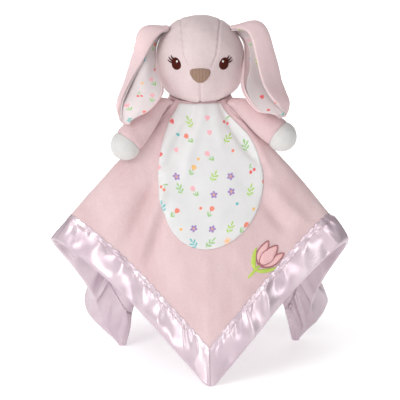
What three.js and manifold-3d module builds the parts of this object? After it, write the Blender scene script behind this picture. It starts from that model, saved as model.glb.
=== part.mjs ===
// A lovey: a plush bunny head with long ears and two short arms on a square satin-edged blanket.
// The blanket stands as a soft tent on its four corners. Millimetres, +Z up, the face looks along -Y.
import * as THREE from "three";
import { mergeVertices } from "three/addons/utils/BufferGeometryUtils.js";
import Module from "manifold-3d";

const wasm = await Module();
wasm.setup();

// Clearances
const seamGap = 0.3;
const hemGap = 1.4;
const layerGap = 0.5;
const bellyGap = 0.8;
const neckGap = 0.8;

// Blanket cloth, as cut
const blanketSide = 380;
const borderWidth = 25;
const cornerRadius = 9;
const neckHoleRadius = 15;
const velourThickness = 1.6;
const backingThickness = 1.1;
const borderProud = 0.4;
const backingStart = 0.02;

// Blanket, as it stands
const neckHeight = 238.8;
const neckDip = 5;
const neckHalfWidth = 26.5;
const neckHalfDepth = 18;
const seatDepth = 0.5;
// Corners on the floor and the hem's peaks between them, as shares of the side
const frontCorner = [0.0237, -0.2184];
const rightCorner = [0.2316, 0.1263];
const backCorner = [0, 0.2421];
const leftCorner = [-0.1842, 0.0816];
const frontRightPeak = [0.3384, -0.0763, 0.3039];
const backRightPeak = [0.2632, 0.2289, 0.2763];
const backLeftPeak = [-0.2632, 0.2289, 0.2868];
const frontLeftPeak = [-0.3408, -0.0763, 0.3105];
// How far the hem swells out beside each peak, before it and after it
const frontRightSwells = [[-1.5, -4, 7.5], [-6, 22, -12]];
const backRightSwells = [[18, 10, -12], [6, 26, -8]];
const backLeftSwells = [[-6, 26, -8], [-18, 10, -12]];
const frontLeftSwells = [[4, 26, -10], [4.5, -4, 7.5]];
const tipLeanShare = 0.15;
// Folds of the cloth
const frontBulge = 7;
const backFoldDepth = 11;
const frontFoldDepth = 3;
const ridgeSharpness = 6;
const rightRidgeLift = 9;
const leftRidgeLift = 3;
const shoulderDip = 2.6;
const shoulderDipAt = 38;
const shoulderDipReach = 30;

// Belly panel, on the front of the blanket
const bellyTopDrop = 2;
const bellyTopHalfWidth = 20;
const bellyHalfWidth = 45;
const bellyWidestAt = 66;
const bellyLength = 121;
const bellyReach = 0.42;
const bellyLean = 6.6;
const bellyLeanCurve = 1.4;
const bellyShoulderCurve = 1.6;
const bellyEndCurve = 2.1;
const bellyEndShare = 0.985;
const jerseyThickness = 1;

// Head
const headHalfWidth = 38;
const headDepthShare = 0.92;
const headHeight = 38;
const headDrop = 36.2;
const crownRoundness = 2.1;
const cheekRoundness = 2.7;
const plushThickness = 1.6;
const gussetTopHalfWidth = 18;
const gussetBrowHalfWidth = 14;
const gussetNoseHalfWidth = 8;
const gussetNapeHalfWidth = 11;
const gussetBrowHeight = 10;
const gussetOverNose = 3;
const knifeReach = 5;

// Face
const eyeSpacing = 41;
const eyeHeight = 2;
const eyeHalfWidth = 4;
const eyeHalfHeight = 4.9;
const eyeTilt = 0.22;
const noseHalfWidth = 8.6;
const noseTop = 0;
const noseBottom = -12.6;
const eyeNarrowing = 0.12;
const eyeFacets = 14;
const stitchThickness = 1.1;

// Arms
const armRadius = 12.2;
const armRootRadius = 6.5;
const leftShoulder = [-34, -13, -2.5];
const leftPaw = [-63.9, -30, -38];
const rightShoulder = [34, -12, -5.4];
const rightPaw = [70, -28, -30.8];
const cuffBeforePaw = 4;
const armSwell = 0.8;

// Ears: each is drawn by four long edges from the root to the tip, from under the neck's centre
const earOuterThickness = 1.6;
const earLiningThickness = 1;
const earLayerGap = 0.7;
const earThickness = earOuterThickness + earLayerGap + earLiningThickness;
const leftEar = {
  inner: [
    [-30, 3, 57.2], [-36.4, -2, 45.2], [-37.2, -15, 28.2],
    [-31.5, -38.5, 11.7], [-43, -42, -5.8], [-57, -38, -14.3],
  ],
  crease: [
    [-30, -3, 57.2], [-42.5, -9, 49.2], [-45, -26, 30.2],
    [-48.5, -39, 13.2], [-53, -43, -0.8], [-60, -39, -17.5],
  ],
  turn: [
    [-29.1, -9.1, 57.4], [-48, -6, 58.2], [-57.5, -8, 38.2],
    [-64.5, -15, 15.2], [-70.5, -25, -3.8], [-64.8, -35.5, -19],
  ],
  edge: [
    [-26.2, -15.1, 57.5], [-39, -19.5, 53.2], [-51.6, -28, 33.2],
    [-61, -34.5, 17.2], [-67.5, -40, 0.2], [-68.5, -38, -14.8],
  ],
};
const rightEar = {
  inner: [
    [30.2, 3, 57.2], [37.0, -3, 45.2], [37.2, -17, 28.2],
    [37, -38, 13.2], [49, -42, -1.8], [63.5, -37.5, -6.3],
  ],
  crease: [
    [30.2, -3, 57.2], [43, -6, 50.2], [48, -11, 29.2],
    [52, -25, 12.7], [59.5, -37, -0.8], [67, -38.5, -10.3],
  ],
  turn: [
    [29.1, -9.1, 57.4], [51, -4, 61.7], [64, -8, 37.2],
    [70.9, -15, 13.2], [76, -26, -1.5], [72.5, -35, -12.5],
  ],
  edge: [
    [26.2, -15.1, 57.5], [42, -20.5, 56.2], [51, -29, 32.2],
    [56, -37.5, 15.7], [63, -43, 2.2], [72, -41, -7.3],
  ],
};

// Facets
const sideSteps = [0, 0.08, 0.17, 0.26, 0.35, 0.43, 0.5, 0.57, 0.65, 0.74, 0.83, 0.92];
const tipSteps = [0.01, 0.023];
const clothRows = 8;
const headFacets = 28;
const headRows = 7;
const earColumns = 9;
const earRows = 10;
const limbFacets = 14;
const limbRings = 7;

const halfTurn = Math.PI;
const vec = (p) => new THREE.Vector3(...p);
const fromNeck = ([x, y, z]) => new THREE.Vector3(x, y, neckHeight + z);

// A closed mesh as a solid that can be joined and cut.
function solidOf(geometry) {
  const bare = new THREE.BufferGeometry();
  bare.setAttribute("position", geometry.getAttribute("position"));
  if (geometry.index) bare.setIndex(geometry.index);
  const merged = mergeVertices(bare, 1e-4);
  const vertProperties = new Float32Array(merged.attributes.position.array);
  const triVerts = new Uint32Array(merged.index.array);
  return new wasm.Manifold(new wasm.Mesh({ numProp: 3, vertProperties, triVerts }));
}

function geometryOf(solid) {
  const mesh = solid.getMesh();
  const geometry = new THREE.BufferGeometry();
  geometry.setAttribute("position", new THREE.BufferAttribute(new Float32Array(mesh.vertProperties), 3));
  geometry.setIndex(new THREE.BufferAttribute(new Uint32Array(mesh.triVerts), 1));
  geometry.computeVertexNormals();
  return geometry;
}

// The direction that a surface faces, taken across a small step.
function facing(surface, u, v) {
  const step = 0.02;
  const alongU = surface(u + step, v).sub(surface(u - step, v));
  const alongV = surface(u, v + step).sub(surface(u, v - step));
  return alongV.cross(alongU).normalize();
}

// A layer of cloth that follows a surface, between two distances from it.
// place(i, j) gives the surface coordinates of each grid point.
function clothLayer(surface, columns, rows, place, inside, outside, closed) {
  const strips = closed ? columns : columns + 1;
  const positions = [];
  for (const offset of [outside, inside]) {
    for (let i = 0; i < strips; i++) {
      for (let j = 0; j <= rows; j++) {
        const [u, v] = place(i, j);
        const point = surface(u, v).addScaledVector(facing(surface, u, v), offset);
        positions.push(point.x, point.y, point.z);
      }
    }
  }
  const outer = (i, j) => (i % strips) * (rows + 1) + j;
  const inner = (i, j) => (strips + (i % strips)) * (rows + 1) + j;
  const index = [];
  for (let i = 0; i < columns; i++) {
    for (let j = 0; j < rows; j++) {
      index.push(outer(i, j), outer(i, j + 1), outer(i + 1, j));
      index.push(outer(i + 1, j), outer(i, j + 1), outer(i + 1, j + 1));
      index.push(inner(i, j), inner(i + 1, j), inner(i, j + 1));
      index.push(inner(i + 1, j), inner(i + 1, j + 1), inner(i, j + 1));
    }
    index.push(outer(i, 0), outer(i + 1, 0), inner(i, 0));
    index.push(inner(i, 0), outer(i + 1, 0), inner(i + 1, 0));
    index.push(outer(i, rows), inner(i, rows), outer(i + 1, rows));
    index.push(inner(i, rows), inner(i + 1, rows), outer(i + 1, rows));
  }
  if (!closed) {
    for (let j = 0; j < rows; j++) {
      index.push(outer(0, j), inner(0, j), outer(0, j + 1));
      index.push(outer(0, j + 1), inner(0, j), inner(0, j + 1));
      index.push(outer(columns, j), outer(columns, j + 1), inner(columns, j));
      index.push(outer(columns, j + 1), inner(columns, j + 1), inner(columns, j));
    }
  }
  const geometry = new THREE.BufferGeometry();
  geometry.setAttribute("position", new THREE.BufferAttribute(new Float32Array(positions), 3));
  geometry.setIndex(index);
  return solidOf(geometry);
}

// A flat outline in the XZ plane, pushed along Y from one depth to another.
function pushedOutline(points, fromY, toY) {
  const shape = new THREE.Shape(points.map(([x, z]) => new THREE.Vector2(x, z)));
  const geometry = new THREE.ExtrudeGeometry(shape, { depth: toY - fromY, bevelEnabled: false });
  geometry.rotateX(halfTurn / 2);
  geometry.translate(0, toY, 0);
  return solidOf(geometry);
}

function boxSolid(size, centre, turn = new THREE.Quaternion()) {
  const geometry = new THREE.BoxGeometry(...size);
  geometry.applyQuaternion(turn);
  geometry.translate(...centre);
  return solidOf(geometry);
}

// Blanket: u runs once round the square, one unit a side, and s runs from the neck to the edge.
const halfDiagonal = blanketSide / Math.SQRT2;
const cornerAngles = [-halfTurn / 2, 0, halfTurn / 2, halfTurn];

function onSquare(u) {
  const side = ((Math.floor(u) % 4) + 4) % 4;
  const share = u - Math.floor(u);
  const from = new THREE.Vector2(1, 0).rotateAround(new THREE.Vector2(), cornerAngles[side]);
  const to = new THREE.Vector2(1, 0).rotateAround(new THREE.Vector2(), cornerAngles[side] + halfTurn / 2);
  const flat = from.lerp(to, share).multiplyScalar(halfDiagonal);
  return { side, share, angle: Math.atan2(flat.y, flat.x), reach: flat.length() };
}

// How far along s the cut edge lies, with its corner rounded off.
function edgeShare(u) {
  const { share, reach } = onSquare(u);
  const fromCorner = Math.min(share, 1 - share) * blanketSide;
  const across = fromCorner / Math.SQRT2;
  const turnPoint = cornerRadius / Math.SQRT2;
  if (across >= turnPoint) return 1;
  const centre = halfDiagonal - cornerRadius * Math.SQRT2;
  const sine = across / reach;
  const rounded = centre * Math.sqrt(1 - sine * sine) + Math.sqrt(cornerRadius ** 2 - (centre * sine) ** 2);
  return Math.min(1, (rounded - neckHoleRadius) / (reach - neckHoleRadius));
}

// How far along s the border's seam lies.
function borderShare(u) {
  const { reach } = onSquare(u);
  const seam = reach * (1 - 2 * borderWidth / blanketSide);
  return (seam - neckHoleRadius) / (reach - neckHoleRadius);
}

const clothThickness = velourThickness + layerGap + backingThickness;
const tipShare = edgeShare(0);
const tipLean = tipLeanShare * clothThickness;
const cornerHeight = (tipLean - seatDepth - (neckHeight - neckDip) * (1 - tipShare)) / tipShare;
const footed = ([x, y]) => new THREE.Vector3(x * blanketSide, y * blanketSide, cornerHeight);

// The hem between two corners hangs from its peak: its quarter points lie outside the straight line.
function hemSide(from, peak, to, [firstSwell, lastSwell]) {
  const a = footed(from);
  const b = footed(to);
  const top = vec(peak).multiplyScalar(blanketSide);
  const first = a.clone().lerp(top, 0.5).add(vec(firstSwell));
  const last = top.clone().lerp(b, 0.5).add(vec(lastSwell));
  return new THREE.CatmullRomCurve3([a, first, top, last, b], false, "catmullrom", 0.5);
}

const hemSides = [
  hemSide(frontCorner, frontRightPeak, rightCorner, frontRightSwells),
  hemSide(rightCorner, backRightPeak, backCorner, backRightSwells),
  hemSide(backCorner, backLeftPeak, leftCorner, backLeftSwells),
  hemSide(leftCorner, frontLeftPeak, frontCorner, frontLeftSwells),
];
const ridgeLifts = [rightRidgeLift, 0, 0, leftRidgeLift];
const frontReach = halfDiagonal - neckHoleRadius;

function blanketSurface(u, s) {
  const { side, share, angle } = onSquare(u);
  const neckZ = neckHeight - neckDip * Math.abs(Math.sin(angle));
  const neck = new THREE.Vector3(neckHalfWidth * Math.cos(angle), neckHalfDepth * Math.sin(angle), neckZ);
  const point = neck.lerp(hemSides[side].getPoint(share), s);
  const frontness = Math.max(0, -Math.sin(angle));
  const halfSide = Math.min(share, 1 - share) * 2;
  const ridge = Math.sin(halfTurn * share) ** ridgeSharpness;
  const body = Math.sin(halfTurn * Math.min(1, Math.max(0, s)));
  const isFront = frontness > Math.SQRT1_2 - 1e-9;
  const depth = side === 0 || side === 3 ? frontFoldDepth : backFoldDepth;
  const fold = depth * s * s * Math.sin(2 * halfTurn * halfSide) * Math.sin(halfTurn * halfSide);
  const bulge = isFront ? frontBulge * body * Math.cos(angle * 2 + halfTurn) : 0;
  const outward = new THREE.Vector3(Math.cos(angle), Math.sin(angle), 0);
  point.addScaledVector(outward, fold + Math.max(0, bulge));
  const underArm = Math.exp(-(((s * frontReach - shoulderDipAt) / shoulderDipReach) ** 2));
  point.z += ridge * (ridgeLifts[side] * body - (isFront ? shoulderDip : 0) * underArm);
  return point;
}

const sideColumns = sideSteps.length;
const sheetColumns = 4 * sideColumns;
const sheetPlace = (i, j) => {
  const u = Math.floor(i / sideColumns) % 4 + sideSteps[i % sideColumns];
  const reach = onSquare(u).reach - neckHoleRadius;
  return [u, (borderShare(u) - hemGap / reach) * j / clothRows];
};
const blanketFace = clothLayer(
  blanketSurface, sheetColumns, clothRows, sheetPlace, -velourThickness, 0, true,
);
const backingPlace = (i, j) => {
  const [u, s] = sheetPlace(i, j);
  return [u, Math.max(s, backingStart)];
};
const satinBacking = clothLayer(
  blanketSurface, sheetColumns, clothRows, backingPlace, -clothThickness, -velourThickness - layerGap, true,
);

// Border: one satin strip a side, mitred at the corners.
const mitreGap = hemGap / blanketSide;
const lastTipSteps = tipSteps.map((t) => 1 - t).reverse();
const stripSteps = [mitreGap, ...tipSteps, ...sideSteps.slice(1), ...lastTipSteps, 1 - mitreGap];
const floorCut = boxSolid([2 * blanketSide, 2 * blanketSide, borderWidth], [0, 0, -borderWidth / 2]);

function borderStrip(side) {
  const place = (i, j) => {
    const u = side + stripSteps[i];
    const seam = borderShare(u);
    return [u, seam + (edgeShare(u) - seam) * j / 2];
  };
  const strip = clothLayer(
    blanketSurface, stripSteps.length - 1, 2, place, -clothThickness - borderProud, borderProud, false,
  );
  return strip.subtract(floorCut);
}

// Belly panel: an oval of printed jersey on the front, drawn by its drop below the neck.
function bellyHalf(drop) {
  if (drop < bellyWidestAt) {
    const narrowing = (1 - drop / bellyWidestAt) ** bellyShoulderCurve;
    return bellyHalfWidth - (bellyHalfWidth - bellyTopHalfWidth) * narrowing;
  }
  const share = (drop - bellyWidestAt) / (bellyLength - bellyWidestAt);
  return bellyHalfWidth * Math.sqrt(Math.max(0, 1 - share ** bellyEndCurve));
}

// The surface coordinates of a point on the front, a distance to the side of the belly's middle line.
// That line leans out from the front corner's line, most at half its length.
function onFront(distance, drop) {
  const shareAt = (u) => drop / (neckHeight - hemSides[u < 0 ? 3 : 0].getPoint(u < 0 ? 1 + u : u).z);
  const lean = bellyLean * Math.sin(halfTurn * (drop / bellyLength) ** bellyLeanCurve);
  const target = blanketSurface(0, shareAt(0)).x + lean + distance;
  let low = -bellyReach;
  let high = bellyReach;
  for (let step = 0; step < 30; step++) {
    const between = (low + high) / 2;
    if (blanketSurface(between, shareAt(between)).x < target) low = between;
    else high = between;
  }
  const u = (low + high) / 2;
  return [u, shareAt(u)];
}

const bellyColumns = 10;
const bellyRows = 10;
const bellyPlace = (i, j) => {
  const down = Math.sin(j / bellyRows * halfTurn / 2);
  const drop = bellyTopDrop + (bellyLength * bellyEndShare - bellyTopDrop) * down;
  return onFront(bellyHalf(drop) * (2 * i / bellyColumns - 1), drop);
};
const bellyPanel = clothLayer(
  blanketSurface, bellyColumns, bellyRows, bellyPlace, bellyGap, bellyGap + jerseyThickness, false,
);

// Head: an oval turned about Z, flatter under the cheeks, and narrower from front to back.
const neckShare = (neckHalfWidth / headHalfWidth) ** cheekRoundness;
const headCentreZ = neckHeight + neckGap + headDrop * (1 - neckShare) ** (1 / cheekRoundness);

function headSolid(offset) {
  const profile = [];
  for (let row = -headRows; row <= headRows; row++) {
    const tilt = row / headRows * halfTurn / 2;
    const power = 2 / (row < 0 ? cheekRoundness : crownRoundness);
    const height = row < 0 ? headDrop : headHeight;
    const across = Math.abs(row) === headRows ? 0 : (headHalfWidth + offset) * Math.cos(tilt) ** power;
    const up = Math.sign(row) * (height + offset) * Math.abs(Math.sin(tilt)) ** power;
    profile.push(new THREE.Vector2(across, up));
  }
  const geometry = new THREE.LatheGeometry(profile, headFacets);
  geometry.rotateX(halfTurn / 2);
  geometry.scale(1, headDepthShare, 1);
  geometry.translate(0, 0, headCentreZ);
  return solidOf(geometry);
}

const headOutside = headSolid(0);
const headSkin = headOutside.subtract(headSolid(-plushThickness));
const headStuffing = headSolid(-plushThickness - seamGap);

// The gusset runs from the nose over the crown to the nape.
function gussetKnife(grow) {
  const top = headCentreZ + headHeight + knifeReach;
  const brow = headCentreZ + gussetBrowHeight;
  const nose = headCentreZ + noseTop - gussetOverNose;
  const front = pushedOutline([
    [-gussetNoseHalfWidth - grow, nose - grow], [gussetNoseHalfWidth + grow, nose - grow],
    [gussetBrowHalfWidth + grow, brow], [gussetTopHalfWidth + grow, top],
    [-gussetTopHalfWidth - grow, top], [-gussetBrowHalfWidth - grow, brow],
  ], -headHalfWidth - knifeReach, 0);
  const nape = headCentreZ - headDrop - knifeReach;
  const back = pushedOutline([
    [-gussetNapeHalfWidth - grow, nape], [gussetNapeHalfWidth + grow, nape],
    [gussetTopHalfWidth + grow, top], [-gussetTopHalfWidth - grow, top],
  ], -seamGap, headHalfWidth + knifeReach);
  return front.add(back);
}

const sideSkin = headSkin.subtract(gussetKnife(seamGap));
const overHalf = 2 * headHalfWidth;
const halfOf = (sign) => boxSolid(
  [overHalf, 2 * overHalf, 2 * overHalf], [sign * (overHalf / 2 + seamGap / 2), 0, headCentreZ],
);

// Stitched face pieces lie on the skin as thin pads.
const stitchShell = headSolid(seamGap + stitchThickness).subtract(headSolid(seamGap));

function stitched(outline) {
  return stitchShell.intersect(pushedOutline(outline, -headHalfWidth - 10, -headHalfWidth / 3));
}

function eyeOutline(sign) {
  const outline = [];
  for (let k = 0; k < eyeFacets; k++) {
    const around = k / eyeFacets * 2 * halfTurn;
    const wide = eyeHalfWidth * Math.cos(around) * (1 - eyeNarrowing * Math.sin(around));
    const tall = eyeHalfHeight * Math.sin(around);
    const x = wide * Math.cos(eyeTilt) - tall * Math.sin(eyeTilt);
    const z = wide * Math.sin(eyeTilt) + tall * Math.cos(eyeTilt);
    outline.push([sign * (eyeSpacing / 2 - x), headCentreZ + eyeHeight + z]);
  }
  return sign < 0 ? outline : outline.reverse();
}

function noseOutline() {
  const corner = new THREE.Shape();
  const low = headCentreZ + noseBottom;
  const high = headCentreZ + noseTop;
  corner.moveTo(0, low);
  corner.quadraticCurveTo(noseHalfWidth * 0.5, low, noseHalfWidth * 0.86, low + (high - low) * 0.5);
  corner.quadraticCurveTo(noseHalfWidth * 1.15, high, noseHalfWidth * 0.55, high);
  corner.quadraticCurveTo(0, high + 0.4, -noseHalfWidth * 0.55, high);
  corner.quadraticCurveTo(-noseHalfWidth * 1.15, high, -noseHalfWidth * 0.86, low + (high - low) * 0.5);
  corner.quadraticCurveTo(-noseHalfWidth * 0.5, low, 0, low);
  return corner.getPoints(4).slice(0, -1).map((p) => [p.x, p.y]);
}

// Ears: a surface swept through the four long edges.
function earSurface(edges) {
  const long = [edges.inner, edges.crease, edges.turn, edges.edge].map(
    (points) => new THREE.CatmullRomCurve3(points.map(fromNeck), false, "catmullrom", 0.5),
  );
  return (u, v) => {
    const along = Math.min(1, Math.max(0, v));
    const across = long.map((curve) => curve.getPoint(along));
    const section = new THREE.CatmullRomCurve3(across, false, "catmullrom", 0.5);
    return section.getPoint(Math.min(1, Math.max(0, u)));
  };
}

function earLayer(edges, sign, inside, outside) {
  const surface = earSurface(edges);
  const turned = (u, v) => surface(sign < 0 ? 1 - u : u, v);
  const place = (i, j) => [i / earColumns, j / earRows];
  return clothLayer(turned, earColumns, earRows, place, inside, outside, false);
}

// Arms: a limb that swells from the shoulder to a round paw.
function limbSolid(shoulder, paw, offset) {
  const axis = paw.clone().sub(shoulder);
  const length = axis.length();
  const profile = [new THREE.Vector2(0, -armRootRadius - offset)];
  for (let k = 0; k <= limbRings; k++) {
    const share = k / limbRings;
    const swell = armRootRadius + (armRadius - armRootRadius) * Math.sin(share * halfTurn / 2) ** armSwell;
    profile.push(new THREE.Vector2(swell + offset, share * length));
  }
  for (let k = 1; k < 4; k++) {
    const tilt = k / 4 * halfTurn / 2;
    const end = armRadius + offset;
    profile.push(new THREE.Vector2(end * Math.cos(tilt), length + end * Math.sin(tilt)));
  }
  profile.push(new THREE.Vector2(0, length + armRadius + offset));
  const geometry = new THREE.LatheGeometry(profile, limbFacets);
  const turn = new THREE.Quaternion().setFromUnitVectors(new THREE.Vector3(0, 1, 0), axis.normalize());
  geometry.applyQuaternion(turn);
  geometry.translate(shoulder.x, shoulder.y, shoulder.z);
  return solidOf(geometry);
}

function armPieces(shoulderPoint, pawPoint) {
  const shoulder = fromNeck(shoulderPoint);
  const paw = fromNeck(pawPoint);
  const along = paw.clone().sub(shoulder).normalize();
  const skin = limbSolid(shoulder, paw, 0).subtract(limbSolid(shoulder, paw, -plushThickness));
  const cuff = paw.clone().addScaledVector(along, -cuffBeforePaw);
  const turn = new THREE.Quaternion().setFromUnitVectors(new THREE.Vector3(0, 0, 1), along);
  const reach = blanketSide / 2;
  const beyond = (start) => {
    const centre = cuff.clone().addScaledVector(along, start + reach / 2);
    return boxSolid([reach, reach, reach], centre.toArray(), turn);
  };
  return {
    sleeve: skin.subtract(beyond(-seamGap / 2)),
    paw: skin.intersect(beyond(seamGap / 2)),
    stuffing: limbSolid(shoulder, paw, -plushThickness - seamGap),
  };
}

// Materials
const cloth = (color, roughness) => new THREE.MeshStandardMaterial({ color, roughness, metalness: 0 });
const velour = cloth(0xe8cdcd, 0.95);
const satin = cloth(0xd9c4ce, 0.35);
const jersey = cloth(0xf4f0ee, 0.85);
const plush = cloth(0xe6d8d8, 0.95);
const pawPlush = cloth(0xf1efed, 0.95);
const lining = cloth(0xf1e8e2, 0.9);
const fibrefill = cloth(0xfafaf6, 1);
const eyeThread = cloth(0x3c190f, 0.4);
const noseThread = cloth(0xb29b8c, 0.5);

const lovey = new THREE.Group();
const named = (name, solid, material) => {
  const mesh = new THREE.Mesh(geometryOf(solid), material);
  mesh.name = name;
  lovey.add(mesh);
};

named("blanket_face", blanketFace, velour);
named("satin_backing", satinBacking, satin);
["front_right", "back_right", "back_left", "front_left"].forEach((where, side) => {
  named("border_" + where, borderStrip(side), satin);
});
named("belly_panel", bellyPanel, jersey);
named("head_gusset", headSkin.intersect(gussetKnife(0)), plush);
named("head_side_left", sideSkin.intersect(halfOf(-1)), plush);
named("head_side_right", sideSkin.intersect(halfOf(1)), plush);
named("head_stuffing", headStuffing, fibrefill);
named("nose", stitched(noseOutline()), noseThread);
named("eye_left", stitched(eyeOutline(-1)), eyeThread);
named("eye_right", stitched(eyeOutline(1)), eyeThread);
for (const [side, edges, sign] of [["left", leftEar, -1], ["right", rightEar, 1]]) {
  named("ear_outer_" + side, earLayer(edges, sign, -earThickness, -earLiningThickness - earLayerGap), velour);
  named("ear_lining_" + side, earLayer(edges, sign, -earLiningThickness, 0), lining);
}
for (const [side, shoulder, paw] of [["left", leftShoulder, leftPaw], ["right", rightShoulder, rightPaw]]) {
  const arm = armPieces(shoulder, paw);
  named("sleeve_" + side, arm.sleeve, velour);
  named("paw_" + side, arm.paw, pawPlush);
  named("arm_stuffing_" + side, arm.stuffing, fibrefill);
}

// The origin lies on the floor under the middle of the whole outline.
const outline = new THREE.Box3().setFromObject(lovey);
const middle = outline.getCenter(new THREE.Vector3());
lovey.position.set(-middle.x, -middle.y, 0);

export default lovey;
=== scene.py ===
import math

import bmesh
import bpy
import numpy as np
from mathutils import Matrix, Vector


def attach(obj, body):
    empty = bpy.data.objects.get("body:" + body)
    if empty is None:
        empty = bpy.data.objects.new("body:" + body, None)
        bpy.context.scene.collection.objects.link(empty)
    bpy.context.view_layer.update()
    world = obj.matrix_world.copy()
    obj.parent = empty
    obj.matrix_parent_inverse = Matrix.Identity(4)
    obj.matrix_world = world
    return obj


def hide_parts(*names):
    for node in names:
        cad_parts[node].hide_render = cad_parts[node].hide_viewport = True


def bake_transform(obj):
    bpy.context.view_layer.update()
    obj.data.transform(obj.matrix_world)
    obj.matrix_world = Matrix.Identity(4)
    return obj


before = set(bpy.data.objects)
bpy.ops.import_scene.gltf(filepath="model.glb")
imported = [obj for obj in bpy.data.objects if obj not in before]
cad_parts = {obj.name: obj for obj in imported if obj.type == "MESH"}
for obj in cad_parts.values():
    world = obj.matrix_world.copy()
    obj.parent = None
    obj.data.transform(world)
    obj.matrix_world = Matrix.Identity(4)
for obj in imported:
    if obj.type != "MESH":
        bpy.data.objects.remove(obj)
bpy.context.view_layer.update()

MM = 0.001
# The shapes are drawn in mm in the part's own frame, over the middle of the neck. The shared frame lies this far off.
SHIFT = np.array([0.4478, -18.7696, 0.0])

# Sizes in mm, as in the CAD model
SIDE, BORDER, CORNER_R, NECK_HOLE, HEM_GAP = 380.0, 25.0, 9.0, 15.0, 1.4
VELOUR, LAYER_GAP, BACKING = 1.6, 0.5, 1.1
NECK_Z, NECK_DIP, NECK_HALF_X, NECK_HALF_Y = 238.8, 5.0, 26.5, 18.0
SEAT_DEPTH = 0.5
CORNERS = [(9, -83), (88, 48), (0, 92), (-70, 31)]
PEAKS = [(128.6, -29, 115.5), (100, 87, 105), (-100, 87, 109), (-129.5, -29, 118)]
SWELLS = [((-1.5, -4, 7.5), (-6, 22, -12)), ((18, 10, -12), (6, 26, -8)),
          ((-6, 26, -8), (-18, 10, -12)), ((4, 26, -10), (4.5, -4, 7.5))]
FRONT_BULGE, BACK_FOLD, FRONT_FOLD = 7.0, 11.0, 3.0
RIDGE = np.array([9.0, 0.0, 0.0, 3.0])
SHOULDER_DIP, DIP_AT, DIP_REACH = 2.6, 38.0, 30.0
HALF = SIDE / math.sqrt(2)

HEAD_X, HEAD_DEPTH, HEAD_UP, HEAD_DOWN = 38.0, 0.92, 38.0, 36.2
CROWN, CHEEK = 2.1, 2.7
HEAD_GAP = 0.8
HEAD_Z = NECK_Z + HEAD_GAP + HEAD_DOWN * (1 - (NECK_HALF_X / HEAD_X) ** CHEEK) ** (1 / CHEEK)

EARS = {
    "left": [
        [(-30, 3, 57.2), (-36.4, -2, 45.2), (-37.2, -15, 28.2), (-31.5, -38.5, 11.7), (-43, -42, -5.8),
         (-57, -38, -14.3)],
        [(-30, -3, 57.2), (-42.5, -9, 49.2), (-45, -26, 30.2), (-48.5, -39, 13.2), (-53, -43, -0.8),
         (-60, -39, -17.5)],
        [(-29.1, -9.1, 57.4), (-48, -6, 58.2), (-57.5, -8, 38.2), (-64.5, -15, 15.2), (-70.5, -25, -3.8),
         (-64.8, -35.5, -19)],
        [(-26.2, -15.1, 57.5), (-39, -19.5, 53.2), (-51.6, -28, 33.2), (-61, -34.5, 17.2), (-67.5, -40, 0.2),
         (-68.5, -38, -14.8)],
    ],
    "right": [
        [(30.2, 3, 57.2), (37, -3, 45.2), (37.2, -17, 28.2), (37, -38, 13.2), (49, -42, -1.8),
         (63.5, -37.5, -6.3)],
        [(30.2, -3, 57.2), (43, -6, 50.2), (48, -11, 29.2), (52, -25, 12.7), (59.5, -37, -0.8),
         (67, -38.5, -10.3)],
        [(29.1, -9.1, 57.4), (51, -4, 61.7), (64, -8, 37.2), (70.9, -15, 13.2), (76, -26, -1.5),
         (72.5, -35, -12.5)],
        [(26.2, -15.1, 57.5), (42, -20.5, 56.2), (51, -29, 32.2), (56, -37.5, 15.7), (63, -43, 2.2),
         (72, -41, -7.3)],
    ],
}
ARMS = {"left": ((-34, -13, -2.5), (-63.9, -30, -38)), "right": ((34, -12, -5.4), (70, -28, -30.8))}
OVER_NECK = np.array([0.0, 0.0, NECK_Z])
ARM_R, ARM_ROOT_R = 12.2, 6.5

# How finely the pieces are divided: most point counts are multiplied by this.
FINE = 2
# The step in surface coordinates over which a surface's direction is measured
STEP = 0.02


# Mesh helpers
def unit(v):
    return v / np.maximum(np.linalg.norm(v, axis=-1, keepdims=True), 1e-9)


def catmull(points, t):
    """A Catmull-Rom line through points (n, 3) or (n, m, 3), at t (m) in 0..1."""
    p = np.asarray(points, float)
    if p.ndim == 2:
        p = np.repeat(p[:, None], len(t), 1)
    first, last = 2 * p[:1] - p[1:2], 2 * p[-1:] - p[-2:-1]
    n = len(p)
    p = np.concatenate([first, p, last])
    at = held(t) * (n - 1)
    k = np.minimum(at.astype(int), n - 2)
    w = (at - k)[:, None]
    m = np.arange(len(t))
    a, b, c, d = p[k, m], p[k + 1, m], p[k + 2, m], p[k + 3, m]
    s, e = (c - a) / 2, (d - b) / 2
    return b + s * w + (-3 * b + 3 * c - 2 * s - e) * w ** 2 + (2 * b - 2 * c + s + e) * w ** 3


def noise2(x, y, seed):
    """Smooth repeatable noise of two numbers, about -1..1."""
    x, y = np.broadcast_arrays(np.asarray(x, float), np.asarray(y, float))
    i, j = np.floor(x), np.floor(y)
    f, g = x - i, y - j
    f, g = f * f * (3 - 2 * f), g * g * (3 - 2 * g)

    def value(a, b):
        h = np.sin(a * 127.1 + b * 311.7 + seed * 74.7) * 43758.5453
        return (h - np.floor(h)) * 2 - 1
    low = value(i, j) * (1 - f) + value(i + 1, j) * f
    high = value(i, j + 1) * (1 - f) + value(i + 1, j + 1) * f
    return low * (1 - g) + high * g


def bell(x, width):
    """1 at 0, falling off smoothly by that width to each side."""
    return np.exp(-(x / width) ** 2)


def held(x):
    """x, kept within 0..1."""
    return np.clip(x, 0, 1)


def arch(x):
    """0 at 0 and at 1, and up to 1 half way between them."""
    return np.sin(math.pi * held(x))


def turns(count):
    """The angles of that many equal steps round a circle."""
    return np.arange(count) / count * 2 * math.pi


def walk(path):
    """The length walked along a line of points, at each of them."""
    return np.concatenate([[0], np.cumsum(np.linalg.norm(np.diff(path, axis=0), axis=1))])


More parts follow.
